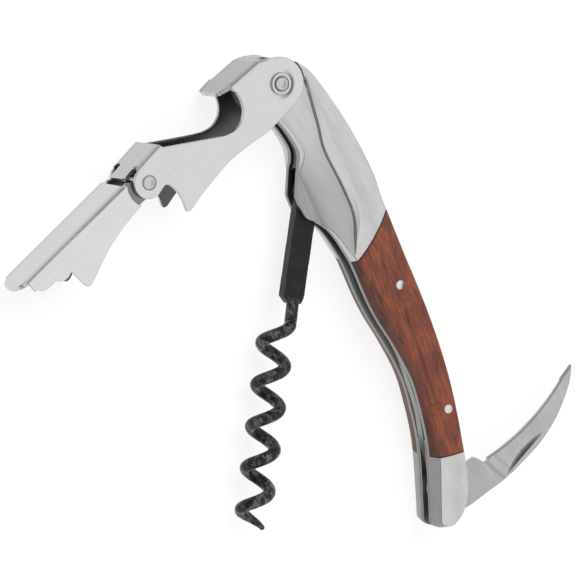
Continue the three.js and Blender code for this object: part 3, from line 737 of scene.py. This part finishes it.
def edge_lean(x, y):
    """How far the side's edge leans in for each millimetre of height: most along the wood."""
    steep_until = 30 if y > 4 else 42
    share = min(1.0, max(0.0, (x - steep_until) / 7))
    return 0.05 + 0.2 * share * share * (3 - 2 * share)


def side_blank():
    """One side of the handle before it is crowned and parted."""
    line = handle_outline()
    out = outward(line)

    def ring(height, inset):
        """The outline at a height, drawn in by an inset and by the lean of the edge."""
        rise = max(0.0, height - LINER_OUTER)
        places = []
        for p, n in zip(line, out):
            q = p - n * (inset + edge_lean(p.x, p.y) * rise)
            places.append(Vector((q.x, q.y, height)))
        return places

    return loft("blank", [ring(LINER_OUTER - 0.35, 0.3), ring(LINER_OUTER, 0.02),
                          ring(CROWN + 0.6, 0.0)])


def crown():
    """The crowned surface of the handle's side: a shallow arch swept along the handle."""
    half_width = 12
    radius = 14
    underside = -6
    spread = math.asin(half_width / radius)
    arch = [Vector((radius * math.sin(a), CROWN - radius + radius * math.cos(a)))
            for a in [spread * (i / 24 - 1) for i in range(49)]]
    steps = 14
    start = (-16, 1.5, -0.6)
    route = spline([start, start, (-6, 3.5, -0.5), (8, 5.6, -0.3), (24, 7.6, 0), (HEAD, 8.4, 0),
                    (grip(0.35), 9, 0), (grip(0.7), 8.8, -0.05), (TAIL, 5.6, -0.25),
                    (TAIL + 9, 2.8, -0.5), (TAIL + 18, -0.6, -0.8), (TAIL + 27, -4.2, -1.1)],
                   steps)[steps:]
    rings = []
    for i, place in enumerate(route):
        along = route[min(i + 1, len(route) - 1)] - route[max(i - 1, 0)]
        across = Vector((-along.y, along.x, 0)).normalized()
        low = [place + across * half_width, place - across * half_width]
        rings.append([place + across * a.x + Vector((0, 0, a.y)) for a in arch]
                     + raised(low, underside))
    return loft("crown", rings)


# where the low wall behind the folded lever stands, from the head to the wood
RIDGE = ((2.2, 6.4), (6.8, 5.9), (13.4, 5.05), (18.3, 4.15), (22.2, 4.25), (27.5, 4.8), (32.3, 5.1),
         (35.8, 5.1), (38.6, 4.5), (42.4, 3), (HEAD - 2.2, 1.7), (HEAD - 0.2, 0.6))
# across the ridge in shares of its width, and up from the flat
RIDGE_PROFILE = ((0, 0), (0.06, 0.1), (0.12, 0.45), (0.16, 0.85), (0.22, 0.98), (0.32, 1.1),
                 (0.5, 1.32), (0.7, 1.6), (0.9, 1.86), (1.0, 2.0), (1.3, 2.7))


def ridge_width(p):
    """How wide the crown is rounded over beside the pocket: most behind the head's waist."""
    least, more, waist, spread = 1.1, 1.5, 22, 12
    if p.x <= 0 or p.y <= 0:
        return 0.0
    return least + more * math.exp(-((p.x - waist) / spread) ** 2)


def lever_pocket():
    """What is milled away for the folded lever: down to a flat, with a rounded ridge beside it."""
    ridge = [Vector(RIDGE[0]), *spline(RIDGE, 6)]
    line = [Vector((46, -14)), Vector((-14, -14)), Vector((-14, 2)), Vector((-6, 2)), *ridge]
    line.reverse()
    out = outward(line)
    widths = [ridge_width(p) for p in line]
    rings = [[Vector((p.x + n.x * wide * across, p.y + n.y * wide * across, SEAT + rise))
              for p, n, wide in zip(line, out, widths)] for across, rise in RIDGE_PROFILE]
    rings.append([p + Vector((0, 0, 3)) for p in rings[-1]])
    return loft("pocket", rings)


def wedge(low, high, behind):
    """Everything in front of a plane that parts the handle, or behind it."""
    slope = (high[0] - low[0]) / (high[1] - low[1])
    reach = 40
    far = 200 if behind else -200
    bottom = (low[0] - slope * reach, low[1] - reach)
    top = (high[0] + slope * reach, high[1] + reach)
    line = [Vector(bottom), Vector((bottom[0] + far, bottom[1])), Vector((top[0] + far, top[1])),
            Vector(top)]
    return plate("wedge", line, 0, 20)


class CORKSCREW_OT_handle_sides(bpy.types.Operator):
    """Models the bolsters and the wooden scales on both sides of the handle"""

    bl_idname = "corkscrew.handle_sides"
    bl_label = "Bolsters and scales"

    def execute(self, context):
        colours = context.scene.corkscrew_colours
        skin = context.scene.corkscrew_sizes.skin / MM
        steel = brushed("bolster_steel", colours.bolster, math.radians(12), 0.33, depth=0.2,
                        streak=0.075)
        wood = rosewood("rosewood", colours.wood, colours.wood_patch, colours.wood_streak)
        whole = shaped(side_blank(), "INTERSECT", crown())
        round_pocket = plate("round", circle(LEVER_END + LEVER_ROOM, 90), SEAT, CROWN + 4)
        # name, slot, finish, rule of painted shade, rounds of smoothing, and what is cut away from
        # the whole side
        plan = (
            ("head_bolster", "bolster_steel", steel, bolster_painted_shade, 2,
             [wedge(*HEAD_JOINT, True), lever_pocket(), round_pocket]),
            ("scale", "rosewood", wood, wood_shade_and_joints, 7,
             [wedge(*HEAD_JOINT, False), wedge(*TAIL_JOINT, True)]),
            ("tail_bolster", "bolster_steel", steel, bolster_painted_shade, 4,
             [wedge(*TAIL_JOINT, False)]),
        )
        for name, slot, finish, shade_rule, rounds, tools in plan:
            piece = bpy.data.objects.new(name, whole.data.copy())
            context.scene.collection.objects.link(piece)
            shaded(softened(shaped(piece, "DIFFERENCE", *tools), skin, rounds), shade_rule)
            both_sides(piece, name, slot, finish, name)
        bpy.data.objects.remove(whole)
        return {"FINISHED"}


def spacer_outline():
    """The block round the lever rivet, a little inside the liners' edge."""
    inset = 0.4
    line = neck_line().line((22.4, 2.4), (21.4, 4.9), (6, 5.2))
    line = line.line(*arc(HEAD_RADIUS, 1.3, 2 * math.pi + NECK_ANGLE, 40)).tidy()
    return [p - n * inset for p, n in zip(line, outward(line))]


def spring_outline():
    """The spring: a deep head half behind the worm's heel, and a thin tail half."""
    line = Outline([Vector((4.2, 9.4))])
    line.curve((8.5, 5.9), (22.4, 5.5)).curve((24.4, 3.3), (27.5, 2.85), (31, 3.4))
    line.curve((38, 4.6), (grip(0), 4.2), (grip(0.12), 3.9), (grip(0.3), 4), (grip(0.5), 4.7),
               (grip(0.66), 4.5), (grip(0.8), 3.75), (grip(0.93), 2.15), (TAIL + 2.6, 0.85),
               (TAIL + 4, 0.55))
    line.line((TAIL + 4.2, 1.2))
    line.curve((TAIL + 0.6, 2.75), (grip(0.93), 4.1), (grip(0.8), 5.9), (grip(0.6), 6.8),
               (grip(0.45), 6.6), (grip(0.33), 6.5))
    line.curve((grip(0.29), 8.6), (grip(0.2), 11.8), (grip(0.08), 14.1))
    line.curve((39, 14.2), (28.8, 14), (20.8, 13.2), (13.7, 12), (7, 10.4), (4.2, 9.4))
    return line.tidy()


def sheared(name, line, low, high):
    """A stamped plate, with its edges a little broken."""
    edge = 0.08
    piece = plate(name, line, low, high)
    bm = bmesh.new()
    bm.from_mesh(piece.data)
    rims = [e for e in bm.edges if abs(e.verts[0].co.z - e.verts[1].co.z) < 0.01]
    bmesh.ops.bevel(bm, geom=rims, offset=edge, segments=2, profile=0.5, affect="EDGES",
                    material=-1)
    bm.to_mesh(piece.data)
    bm.free()
    return piece


def part_of(line, start, end, low, high):
    """The stretch of a plate between two places along the handle."""
    stretch = [Vector(p) for p in ((start, -30), (end, -30), (end, 30), (start, 30))]
    return shaped(plate("part", line, low, high), "INTERSECT",
                  plate("stretch", stretch, low - 1, high + 1))


class CORKSCREW_OT_liners(bpy.types.Operator):
    """Models the liners, the spring between them and the block round the lever rivet"""

    bl_idname = "corkscrew.liners"
    bl_label = "Liners and spring"

    def execute(self, context):
        colours = context.scene.corkscrew_colours
        steel = brushed("stamped_steel", colours.stamped, 0.0, 0.42, depth=0.3, streak=0.12)
        outline = handle_outline()
        near = sheared("liner_near", outline, GAP_HALF, LINER_OUTER)
        inside_liner = GAP_HALF + 0.5
        # at the head and the tail the liners reach further in, and the gap is narrower
        shaped(near, "UNION", part_of(outline, -20, 20.5, 1.1, inside_liner),
               part_of(outline, 97, 140, 1.15, inside_liner))
        both_sides(shaded(near, liner_painted_shade), "liner", "stamped_steel", steel, "liner", sharp=30)
        for name, line, shade_rule, node in (
                ("spring", spring_outline(), spring_painted_shade, "back_spring"),
                ("spacer", spacer_outline(), spacer_painted_shade, "head_spacer")):
            piece = shaded(sheared(name, line, -SPRING_HALF, SPRING_HALF), shade_rule)
            placed(piece, name, "handle", "stamped_steel", steel, node, sharp=30)
        return {"FINISHED"}


# ---- levers ----


def web_end():
    """The end of the cap lifter's web, carried on towards the rivet with its bends."""
    bend_axis = CHEEK_OUTER - BEND
    inside = CHEEK_OUTER - SHEET
    top, under_web = 2.2, 1.05
    section = [Vector((-CHEEK_OUTER, top)),
               *arc(BEND, math.pi, 1.5 * math.pi, 8, (-bend_axis, BEND)),
               *arc(BEND, -math.pi / 2, 0, 8, (bend_axis, BEND)),
               Vector((CHEEK_OUTER, top)), Vector((inside, top)), Vector((inside, under_web)),
               Vector((-inside, under_web)), Vector((-inside, top))]
    rise = ((0.3, -7.12), (1.6, -7.36), (3.0, -7.42))
    return loft("web_end", [[Vector((x, y + p.y, p.x)) for p in section] for x, y in rise])


def lip_corner():
    """The far corner of the cap lifter's lip, drawn out to a point."""
    corner, angle = Vector((11.2, -6.75)), 0.2013
    along = Vector((math.cos(angle), math.sin(angle)))
    inward = Vector((-math.sin(angle), math.cos(angle)))
    outline = ((-1.6, -6.2), (0.6, -6.45), (2.0, -6.3), (2.45, -5.7), (2.6, -4.3), (2.6, -2.5),
               (0, -2), (-1.6, -2))
    rings = []
    for depth in (0.03, SHEET - 0.03):
        places = [corner + along * u + inward * depth for u, w in outline]
        rings.append([Vector((p.x, p.y, w)) for p, (u, w) in zip(places, outline)])
    return loft("lip_corner", rings)


class CORKSCREW_OT_levers(bpy.types.Operator):
    """Models the two folded levers with rounded bends and sheared edges"""

    bl_idname = "corkscrew.levers"
    bl_label = "Levers"

    def execute(self, context):
        colours = context.scene.corkscrew_colours
        wider = 1.12  # keeps the long first lever under the limit for triangles
        skin = context.scene.corkscrew_sizes.skin / MM * wider
        # node, body, angle, pivot, rule of painted shade, and how much lighter its steel is
        # painted, as painted light
        plan = (("lever_arm", "lever", LEVER_ANGLE, (0, 0), lever_painted_shade, 1.0),
                ("lever_foot", "foot", LEVER_ANGLE + FOOT_ANGLE, HINGE, foot_painted_shade, 1.06))
        for node, body, angle, pivot, shade_rule, gain in plan:
            # the second lever's copy of the steel is painted lighter, as painted light for how it
            # catches the light
            steel = brushed(f"{node}_steel", rgb(colours.lever, gain)[:3], angle, 0.3)
            whole = copy_of(node, angle, pivot)
            if node == "lever_arm":
                whole = with_parts(whole, web_end(), lip_corner())
            piece = shaded(softened(whole, skin, 4), shade_rule)
            back_in_place(piece, angle, pivot)
            placed(piece, f"{node}_sheet", body, "lever_steel", steel, node)
        return {"FINISHED"}


# ---- worm ----


def coil_route():
    """The middle of the worm's wire: out of the shank, round the coil and on to the tip."""
    steps_per_turn = 36
    turns = (COIL_END - COIL_START) / COIL_PITCH
    count = round(turns * steps_per_turn)
    coiled = []
    for i in range(count + 1):
        a = i / count * turns * 2 * math.pi
        coiled.append(Vector((COIL_START + COIL_PITCH * a / (2 * math.pi),
                              COIL_AXIS + COIL_RADIUS * math.cos(a), COIL_RADIUS * math.sin(a))))
    lead = [(23.4, 0, 0), (26.7, 0, 0), (29.1, -0.02, 0.1), coiled[2]]
    return [Vector(lead[0]), *spline(lead), *coiled[3:]]


def wound_wire(route):
    """The wire along its route, thinner towards the tip."""
    taper, tip_share = 7.5, 0.4
    curve = bpy.data.curves.new("worm_wire", "CURVE")
    curve.dimensions = "3D"
    curve.bevel_depth = WIRE
    curve.bevel_resolution = 6
    curve.use_fill_caps = True
    line = curve.splines.new("POLY")
    line.points.add(len(route) - 1)
    left = sum((b - a).length for a, b in zip(route, route[1:]))
    for point, before, place in zip(line.points, [route[0], *route], route):
        left -= (place - before).length
        point.co = (*place, 1)
        point.radius = min(1.0, tip_share + (1 - tip_share) * left / taper)
    wire = bpy.data.objects.new("worm_wire", curve)
    bpy.context.scene.collection.objects.link(wire)
    tube = bpy.data.meshes.new_from_object(
        wire.evaluated_get(bpy.context.evaluated_depsgraph_get()))
    bpy.data.objects.remove(wire)
    return bpy.data.objects.new("worm", tube)


def shank_outline():
    """The worm's flat shank, wider towards its end, with its corners cut off."""
    half = 2.75
    lean = 0.6
    return [Vector(p) for p in ((0, -half), (25.4, -half - lean), (27, -1.75), (26.8, 1.6),
                                (25.3, half - lean), (0, half))]


class CORKSCREW_OT_worm(bpy.types.Operator):
    """Models the coated worm: its wound wire and flat shank"""

    bl_idname = "corkscrew.worm"
    bl_label = "Worm"

    def execute(self, context):
        coat = coating("black_coating", context.scene.corkscrew_colours.coat)
        whole = with_parts(wound_wire(coil_route()),
                           plate("shank", shank_outline(), -SHANK_HALF, SHANK_HALF),
                           plate("heel", circle(HEEL_RADIUS, 60), -SHANK_HALF, SHANK_HALF))
        softened(whole, WORM_SKIN, 2)
        shaded(whole, wound_part)
        shaded(whole, shank_sides, "side")
        back_in_place(whole, WORM_ANGLE, WORM_PIVOT)
        placed(whole, "worm_coated", "worm_body", "black_coating", coat, "worm")
        return {"FINISHED"}


# ---- blade ----


def blade_outline():
    """The blade's side, with the tip along +X from the pin and the toothed edge at +Y."""
    depth = 0.27
    corner = 0.9
    line = Outline(arc(TANG_RADIUS, corner, corner, 1)[:1])
    line.curve((6, 1.3), (9.1, 0.1)).line((CHOIL - 2.1, -0.2))
    line.curve((CHOIL - 1.4, -1.7), (CHOIL - 0.6, -3.3), (CHOIL + 0.4, -3.5))
    first, middle, last = EDGE
    tip = BLADE_LENGTH
    for i in range(2 * TEETH):
        t = i / (2 * TEETH)
        p = first * (1 - t) ** 2 + middle * 2 * t * (1 - t) + last * t * t
        line.line((p.x, p.y - depth * (i % 2)))
    line.line(last, (last.x + 0.5, last.y + 0.35), (tip + 0.2, -0.25))
    line.curve((tip + 0.35, -0.6), (tip - 0.2, -1.3))
    line.curve((tip - 2.9, -3.8), (tip - 7.6, -6.5), (tip - 12.4, -8.5), (tip - 18, -9.8),
               (22, -10.3), (14.3, -10.25), (9.1, -9.5), (4, -8.9))
    line.curve((1.2, -8.1), (-1.2, -6), (-2.6, -TANG_RADIUS * 0.76))
    line.line(*arc(TANG_RADIUS, 2 * math.pi - 2.3, corner, 30))
    return line.tidy()


def ground_face():
    """What is ground off one face of the blade, with a soft start behind the choil."""
    back, front, above = -10, 3, 3
    rings = []
    for x, share in ((CHOIL - 0.9, -0.1), (CHOIL + 0.3, 0.55), (CHOIL + 1.1, 1), (75, 1)):
        rings.append([Vector((x - 0.2 * y, y, BLADE_HALF - GRIND * (y + 10) * share))
                      for y in (back, front)]
                     + [Vector((x - 0.6, front, above)), Vector((x + 2, back, above))])
    return loft("ground", rings)


def nail_nick():
    """The cut of a large wheel that leans, so that the nick's straight wall is near the back."""
    middle = (23.2, -9.05, BLADE_HALF)
    half_length, depth, lean, turn = 8.2, 0.5, 0.23, 0.104
    wheel = half_length**2 * math.cos(lean) / (2 * depth)
    bm = bmesh.new()
    bmesh.ops.create_cone(bm, cap_ends=True, segments=480, radius1=wheel, radius2=wheel, depth=4)
    bmesh.ops.transform(bm, verts=bm.verts, matrix=(
        Matrix.Translation(middle) @ Matrix.Rotation(turn, 4, "Z") @ Matrix.Rotation(lean, 4, "X")
        @ Matrix.Translation((0, 2, wheel - depth / math.cos(lean)))
        @ Matrix.Rotation(math.pi / 2, 4, "X")))
    return finished(bm, "nick")


class CORKSCREW_OT_blade(bpy.types.Operator):
    """Models the foil cutter with its ground faces, teeth and nail nick"""

    bl_idname = "corkscrew.blade"
    bl_label = "Blade"

    def execute(self, context):
        colours = context.scene.corkscrew_colours
        steel = brushed("blade_steel", colours.blade, BLADE_ANGLE + math.pi / 2, 0.3, depth=0.3,
                        streak=0.09)
        piece = plate("blade", blade_outline(), -BLADE_HALF, BLADE_HALF)
        near = ground_face()
        far = far_side(near, "ground_far")
        bore = plate("bore", circle(TANG_BORE, 40), -3, 3)
        shaped(piece, "DIFFERENCE", near, far, nail_nick(), bore)
        shaded(softened(piece, BLADE_SKIN, 1), blade_painted_shade)
        back_in_place(piece, BLADE_ANGLE, BLADE_PIVOT)
        placed(piece, "blade_ground", "blade_body", "blade_steel", steel, "blade")
        return {"FINISHED"}


# ---- rivets and pins ----


def main_rivet():
    """The lever's rivet, with both ends rolled over and rings of painted shade on them."""
    half = [(1.5, 0), (1.5, 6.9), (1.42, 7.16), (1.2, 7.29), (0.95, RIVET_TOP), (0.8, 7.24),
            (0.62, 7.1), (0.3, 7.04), (0, 7.04)]
    return shaded(turned("rivet", both_ends(half)), rings_of(
        0, 0, (1.4, 0.2, 0.5, 0.15), (0.8, 0.2, 0.4, 0.4), (0.0, 0.35, 0.45, 0.0)))


def washer(radius):
    """The ring under the rivet's end: a rounded rim round a dished middle, with rings of painted
    shade.
    """
    bore = 1.6
    rim = [(radius, WASHER_UNDER), (radius, 6.95), (radius - 0.08, 7.15), (radius - 0.25, 7.27),
           (radius - 0.42, RIVET_TOP), (radius - 0.58, 7.26), (radius - 0.74, 7.12),
           (radius - 0.82, 6.9)]
    return shaded(turned("washer", [(bore, WASHER_UNDER), *rim, (bore, 6.8)]), rings_of(
        0, 0, (1.7, 0.2, 0.35, 0.2), (radius - 0.06, 0.22, 0.45, 0.55)))


def step_rivet():
    """The domed rivet of the second lever, with painted shade round its dome."""
    stem, head, under = 1.25, 1.75, 6.65
    dome = [(head * math.sin(a), WASHER_UNDER + 0.62 * math.cos(a) ** 1.3)
            for a in [math.radians(88 - 8 * i) for i in range(11)]]
    half = [(stem, 0), (stem, under), (head, under), *dome, (0, RIVET_TOP)]
    return shaded(shifted(turned("rivet", both_ends(half)), *HINGE), rings_of(
        *HINGE, (1.6, 0.35, 0.6, 0.5), (0.5, 1.0, 0.3, 0.2)))


def scale_pin(x, y, top, painted_reflection):
    """A pin's end in the wood, slightly domed, and a painted reflection that darkens one half of it
    by the given share; its rim gets a dark ring.
    """
    foot, radius = 1.6, 1.15
    profile = [(0, foot), (radius, foot), (radius, top - 0.22), (1.08, top - 0.13),
               (0.9, top - 0.05), (0.5, top), (0, top)]
    return shaded(shifted(turned("pin", profile), x, y), rings_of(
        x, y, (0.85, 0.6, 0.05, painted_reflection), (1.2, 0.15, 0.55, 0.2)))


class CORKSCREW_OT_rivets(bpy.types.Operator):
    """Models the rivets, their washers and the pins"""

    bl_idname = "corkscrew.rivets"
    bl_label = "Rivets and pins"

    def execute(self, context):
        shine = polished("polished_pins", context.scene.corkscrew_colours.pins)
        placed(main_rivet(), "main_rivet", "handle", "polished_pins", shine, "lever_rivet",
               sharp=40)
        both_sides(washer(context.scene.corkscrew_sizes.washer / MM), "washer", "polished_pins",
                   shine, "lever_washer", sharp=40)
        placed(step_rivet(), "step_rivet", "lever", "polished_pins", shine, "hinge_rivet",
               sharp=40)
        # each pin's share of painted reflection, which darkens one half of it
        for where, place, top, painted_reflection in zip(("front", "rear"), SCALE_PINS, PIN_TOPS, (0.95, 0.15)):
            both_sides(scale_pin(*place, top, painted_reflection), f"{where}_pin", "polished_pins", shine,
                       f"scale_pin_{where}", sharp=40)
        for node in ("worm_pin", "blade_pin", "spring_pin_front", "spring_pin_rear"):
            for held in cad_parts[node].material_slots:
                held.material = shine
        return {"FINISHED"}


# ---- stage ----


def lamp(name, place, size, power):
    """A soft panel of light that lights colours and isn't seen in the steel."""
    aim = Vector((0.05, -0.01, 0.0))
    light = bpy.data.lights.new(name, "AREA")
    light.shape = "SQUARE"
    light.size = size
    light.energy = power
    thing = bpy.data.objects.new(name, light)
    thing.location = place
    thing.rotation_mode = "QUATERNION"
    thing.rotation_quaternion = (aim - Vector(place)).to_track_quat("-Z", "Y")
    thing.visible_glossy = False
    bpy.context.scene.collection.objects.link(thing)


def seen_rays(nodes, camera, reflected):
    """A share that is set by the kind of ray: the camera's, or one off steel or through glass."""
    direct = nodes.node("ShaderNodeLightPath", out=0)
    glossy = nodes.node("ShaderNodeLightPath", out=3)
    through = nodes.node("ShaderNodeLightPath", out=6)
    return direct * camera + glossy.maths("MAXIMUM", through) * reflected


def floor(scene):
    """A pale floor just under the corkscrew, on which only faint shadows show."""
    half, drop = 3.0, 0.0001
    bm = bmesh.new()
    bmesh.ops.create_grid(bm, x_segments=1, y_segments=1, size=half)
    bmesh.ops.translate(bm, vec=(0, 0, -drop), verts=bm.verts)
    mesh = bpy.data.meshes.new("floor")
    bm.to_mesh(mesh)
    bm.free()
    ground = bpy.data.objects.new("floor", mesh)
    scene.collection.objects.link(ground)
    pale = Finish("pale_floor").set(Roughness=0.9)
    direct = pale.node("ShaderNodeLightPath", out=0)
    pale.set(Base_Color=pale.mix(direct, (0.5, 0.5, 0.5, 1), (0.95, 0.95, 0.95, 1)))
    white = pale.node("ShaderNodeEmission", {}, (1, 1, 1, 1), 1.1)
    both = pale.node("ShaderNodeMixShader", {}, seen_rays(pale, 0.72, 0.8),
                     Value(pale, pale.shader.outputs[0]), white)
    pale.feed(pale.own("OUTPUT_MATERIAL").inputs["Surface"], both)
    mesh.materials.append(pale.material)


def sky(scene):
    """White to the camera, and for the steel bright above and dark near the ground."""
    world = bpy.data.worlds.new("studio")
    scene.world = world
    world.use_nodes = True
    air = Nodes(world.node_tree)
    ground = air.own("BACKGROUND")
    ground.inputs["Color"].default_value = (1, 1, 1, 1)
    way = air.node("ShaderNodeTexCoord", out=0)
    east, north, height = (air.node("ShaderNodeSeparateXYZ", {}, way, out=i) for i in range(3))
    seen = (height + east * 0.08 + north * 0.18).steps(0.02, 0.44, 0.06, 1.05)
    direct = air.node("ShaderNodeLightPath", out=0)
    glossy = seen_rays(air, 0.0, 1.0)
    elsewhere = 1.0 - direct.maths("MAXIMUM", glossy)
    air.feed(ground.inputs["Strength"], direct + glossy * seen + elsewhere * 0.5)


class CORKSCREW_OT_stage(bpy.types.Operator):
    """Sets the floor, the soft light and the camera"""

    bl_idname = "corkscrew.stage"
    bl_label = "Stage"

    def execute(self, context):
        scene = context.scene
        floor(scene)
        sky(scene)
        lamp("key", (-0.5, 0.35, 0.9), 0.8, 6)
        lamp("fill", (0.6, -0.5, 0.7), 0.9, 3)

        camera = bpy.data.cameras.new("camera")
        camera.sensor_width = 36
        camera.lens = 199.1
        camera.clip_start = 0.01
        camera.clip_end = 20
        view = bpy.data.objects.new("camera", camera)
        right = Vector((0.36428, 0.79193, 0.49005))
        up = Vector((-0.87917, 0.46601, -0.09953))
        back = Vector((-0.30719, -0.39457, 0.86599))
        view.matrix_world = Matrix.Translation((-0.18305, -0.30942, 0.65319)) @ Matrix(
            (right, up, back)).transposed().to_4x4()
        scene.collection.objects.link(view)
        scene.camera = view
        scene.view_settings.view_transform = "Standard"
        return {"FINISHED"}


# ---- panel and running ----

STEPS = (CORKSCREW_OT_stage, CORKSCREW_OT_handle_sides, CORKSCREW_OT_liners, CORKSCREW_OT_levers,
         CORKSCREW_OT_worm, CORKSCREW_OT_blade, CORKSCREW_OT_rivets)


class CORKSCREW_PT_panel(bpy.types.Panel):
    """The corkscrew's pieces, in the order in which they are made"""

    bl_label = "Corkscrew"
    bl_idname = "CORKSCREW_PT_panel"
    bl_space_type = "VIEW_3D"
    bl_region_type = "UI"
    bl_category = "Corkscrew"

    def draw(self, context):
        for group in (context.scene.corkscrew_sizes, context.scene.corkscrew_colours):
            for name in group.bl_rna.properties.keys():
                if name not in ("rna_type", "name"):
                    self.layout.prop(group, name)
        for step in STEPS:
            self.layout.operator(step.bl_idname)


CLASSES = (CorkscrewSizes, CorkscrewColours, *STEPS, CORKSCREW_PT_panel)


def register():
    for kind in CLASSES:
        bpy.utils.register_class(kind)
    bpy.types.Scene.corkscrew_sizes = bpy.props.PointerProperty(type=CorkscrewSizes)
    bpy.types.Scene.corkscrew_colours = bpy.props.PointerProperty(type=CorkscrewColours)


def unregister():
    del bpy.types.Scene.corkscrew_colours
    del bpy.types.Scene.corkscrew_sizes
    for kind in reversed(CLASSES):
        bpy.utils.unregister_class(kind)


def main():
    register()
    for step in STEPS:
        group, name = step.bl_idname.split(".")
        getattr(getattr(bpy.ops, group), name)()


if __name__ == "__main__":
    main()
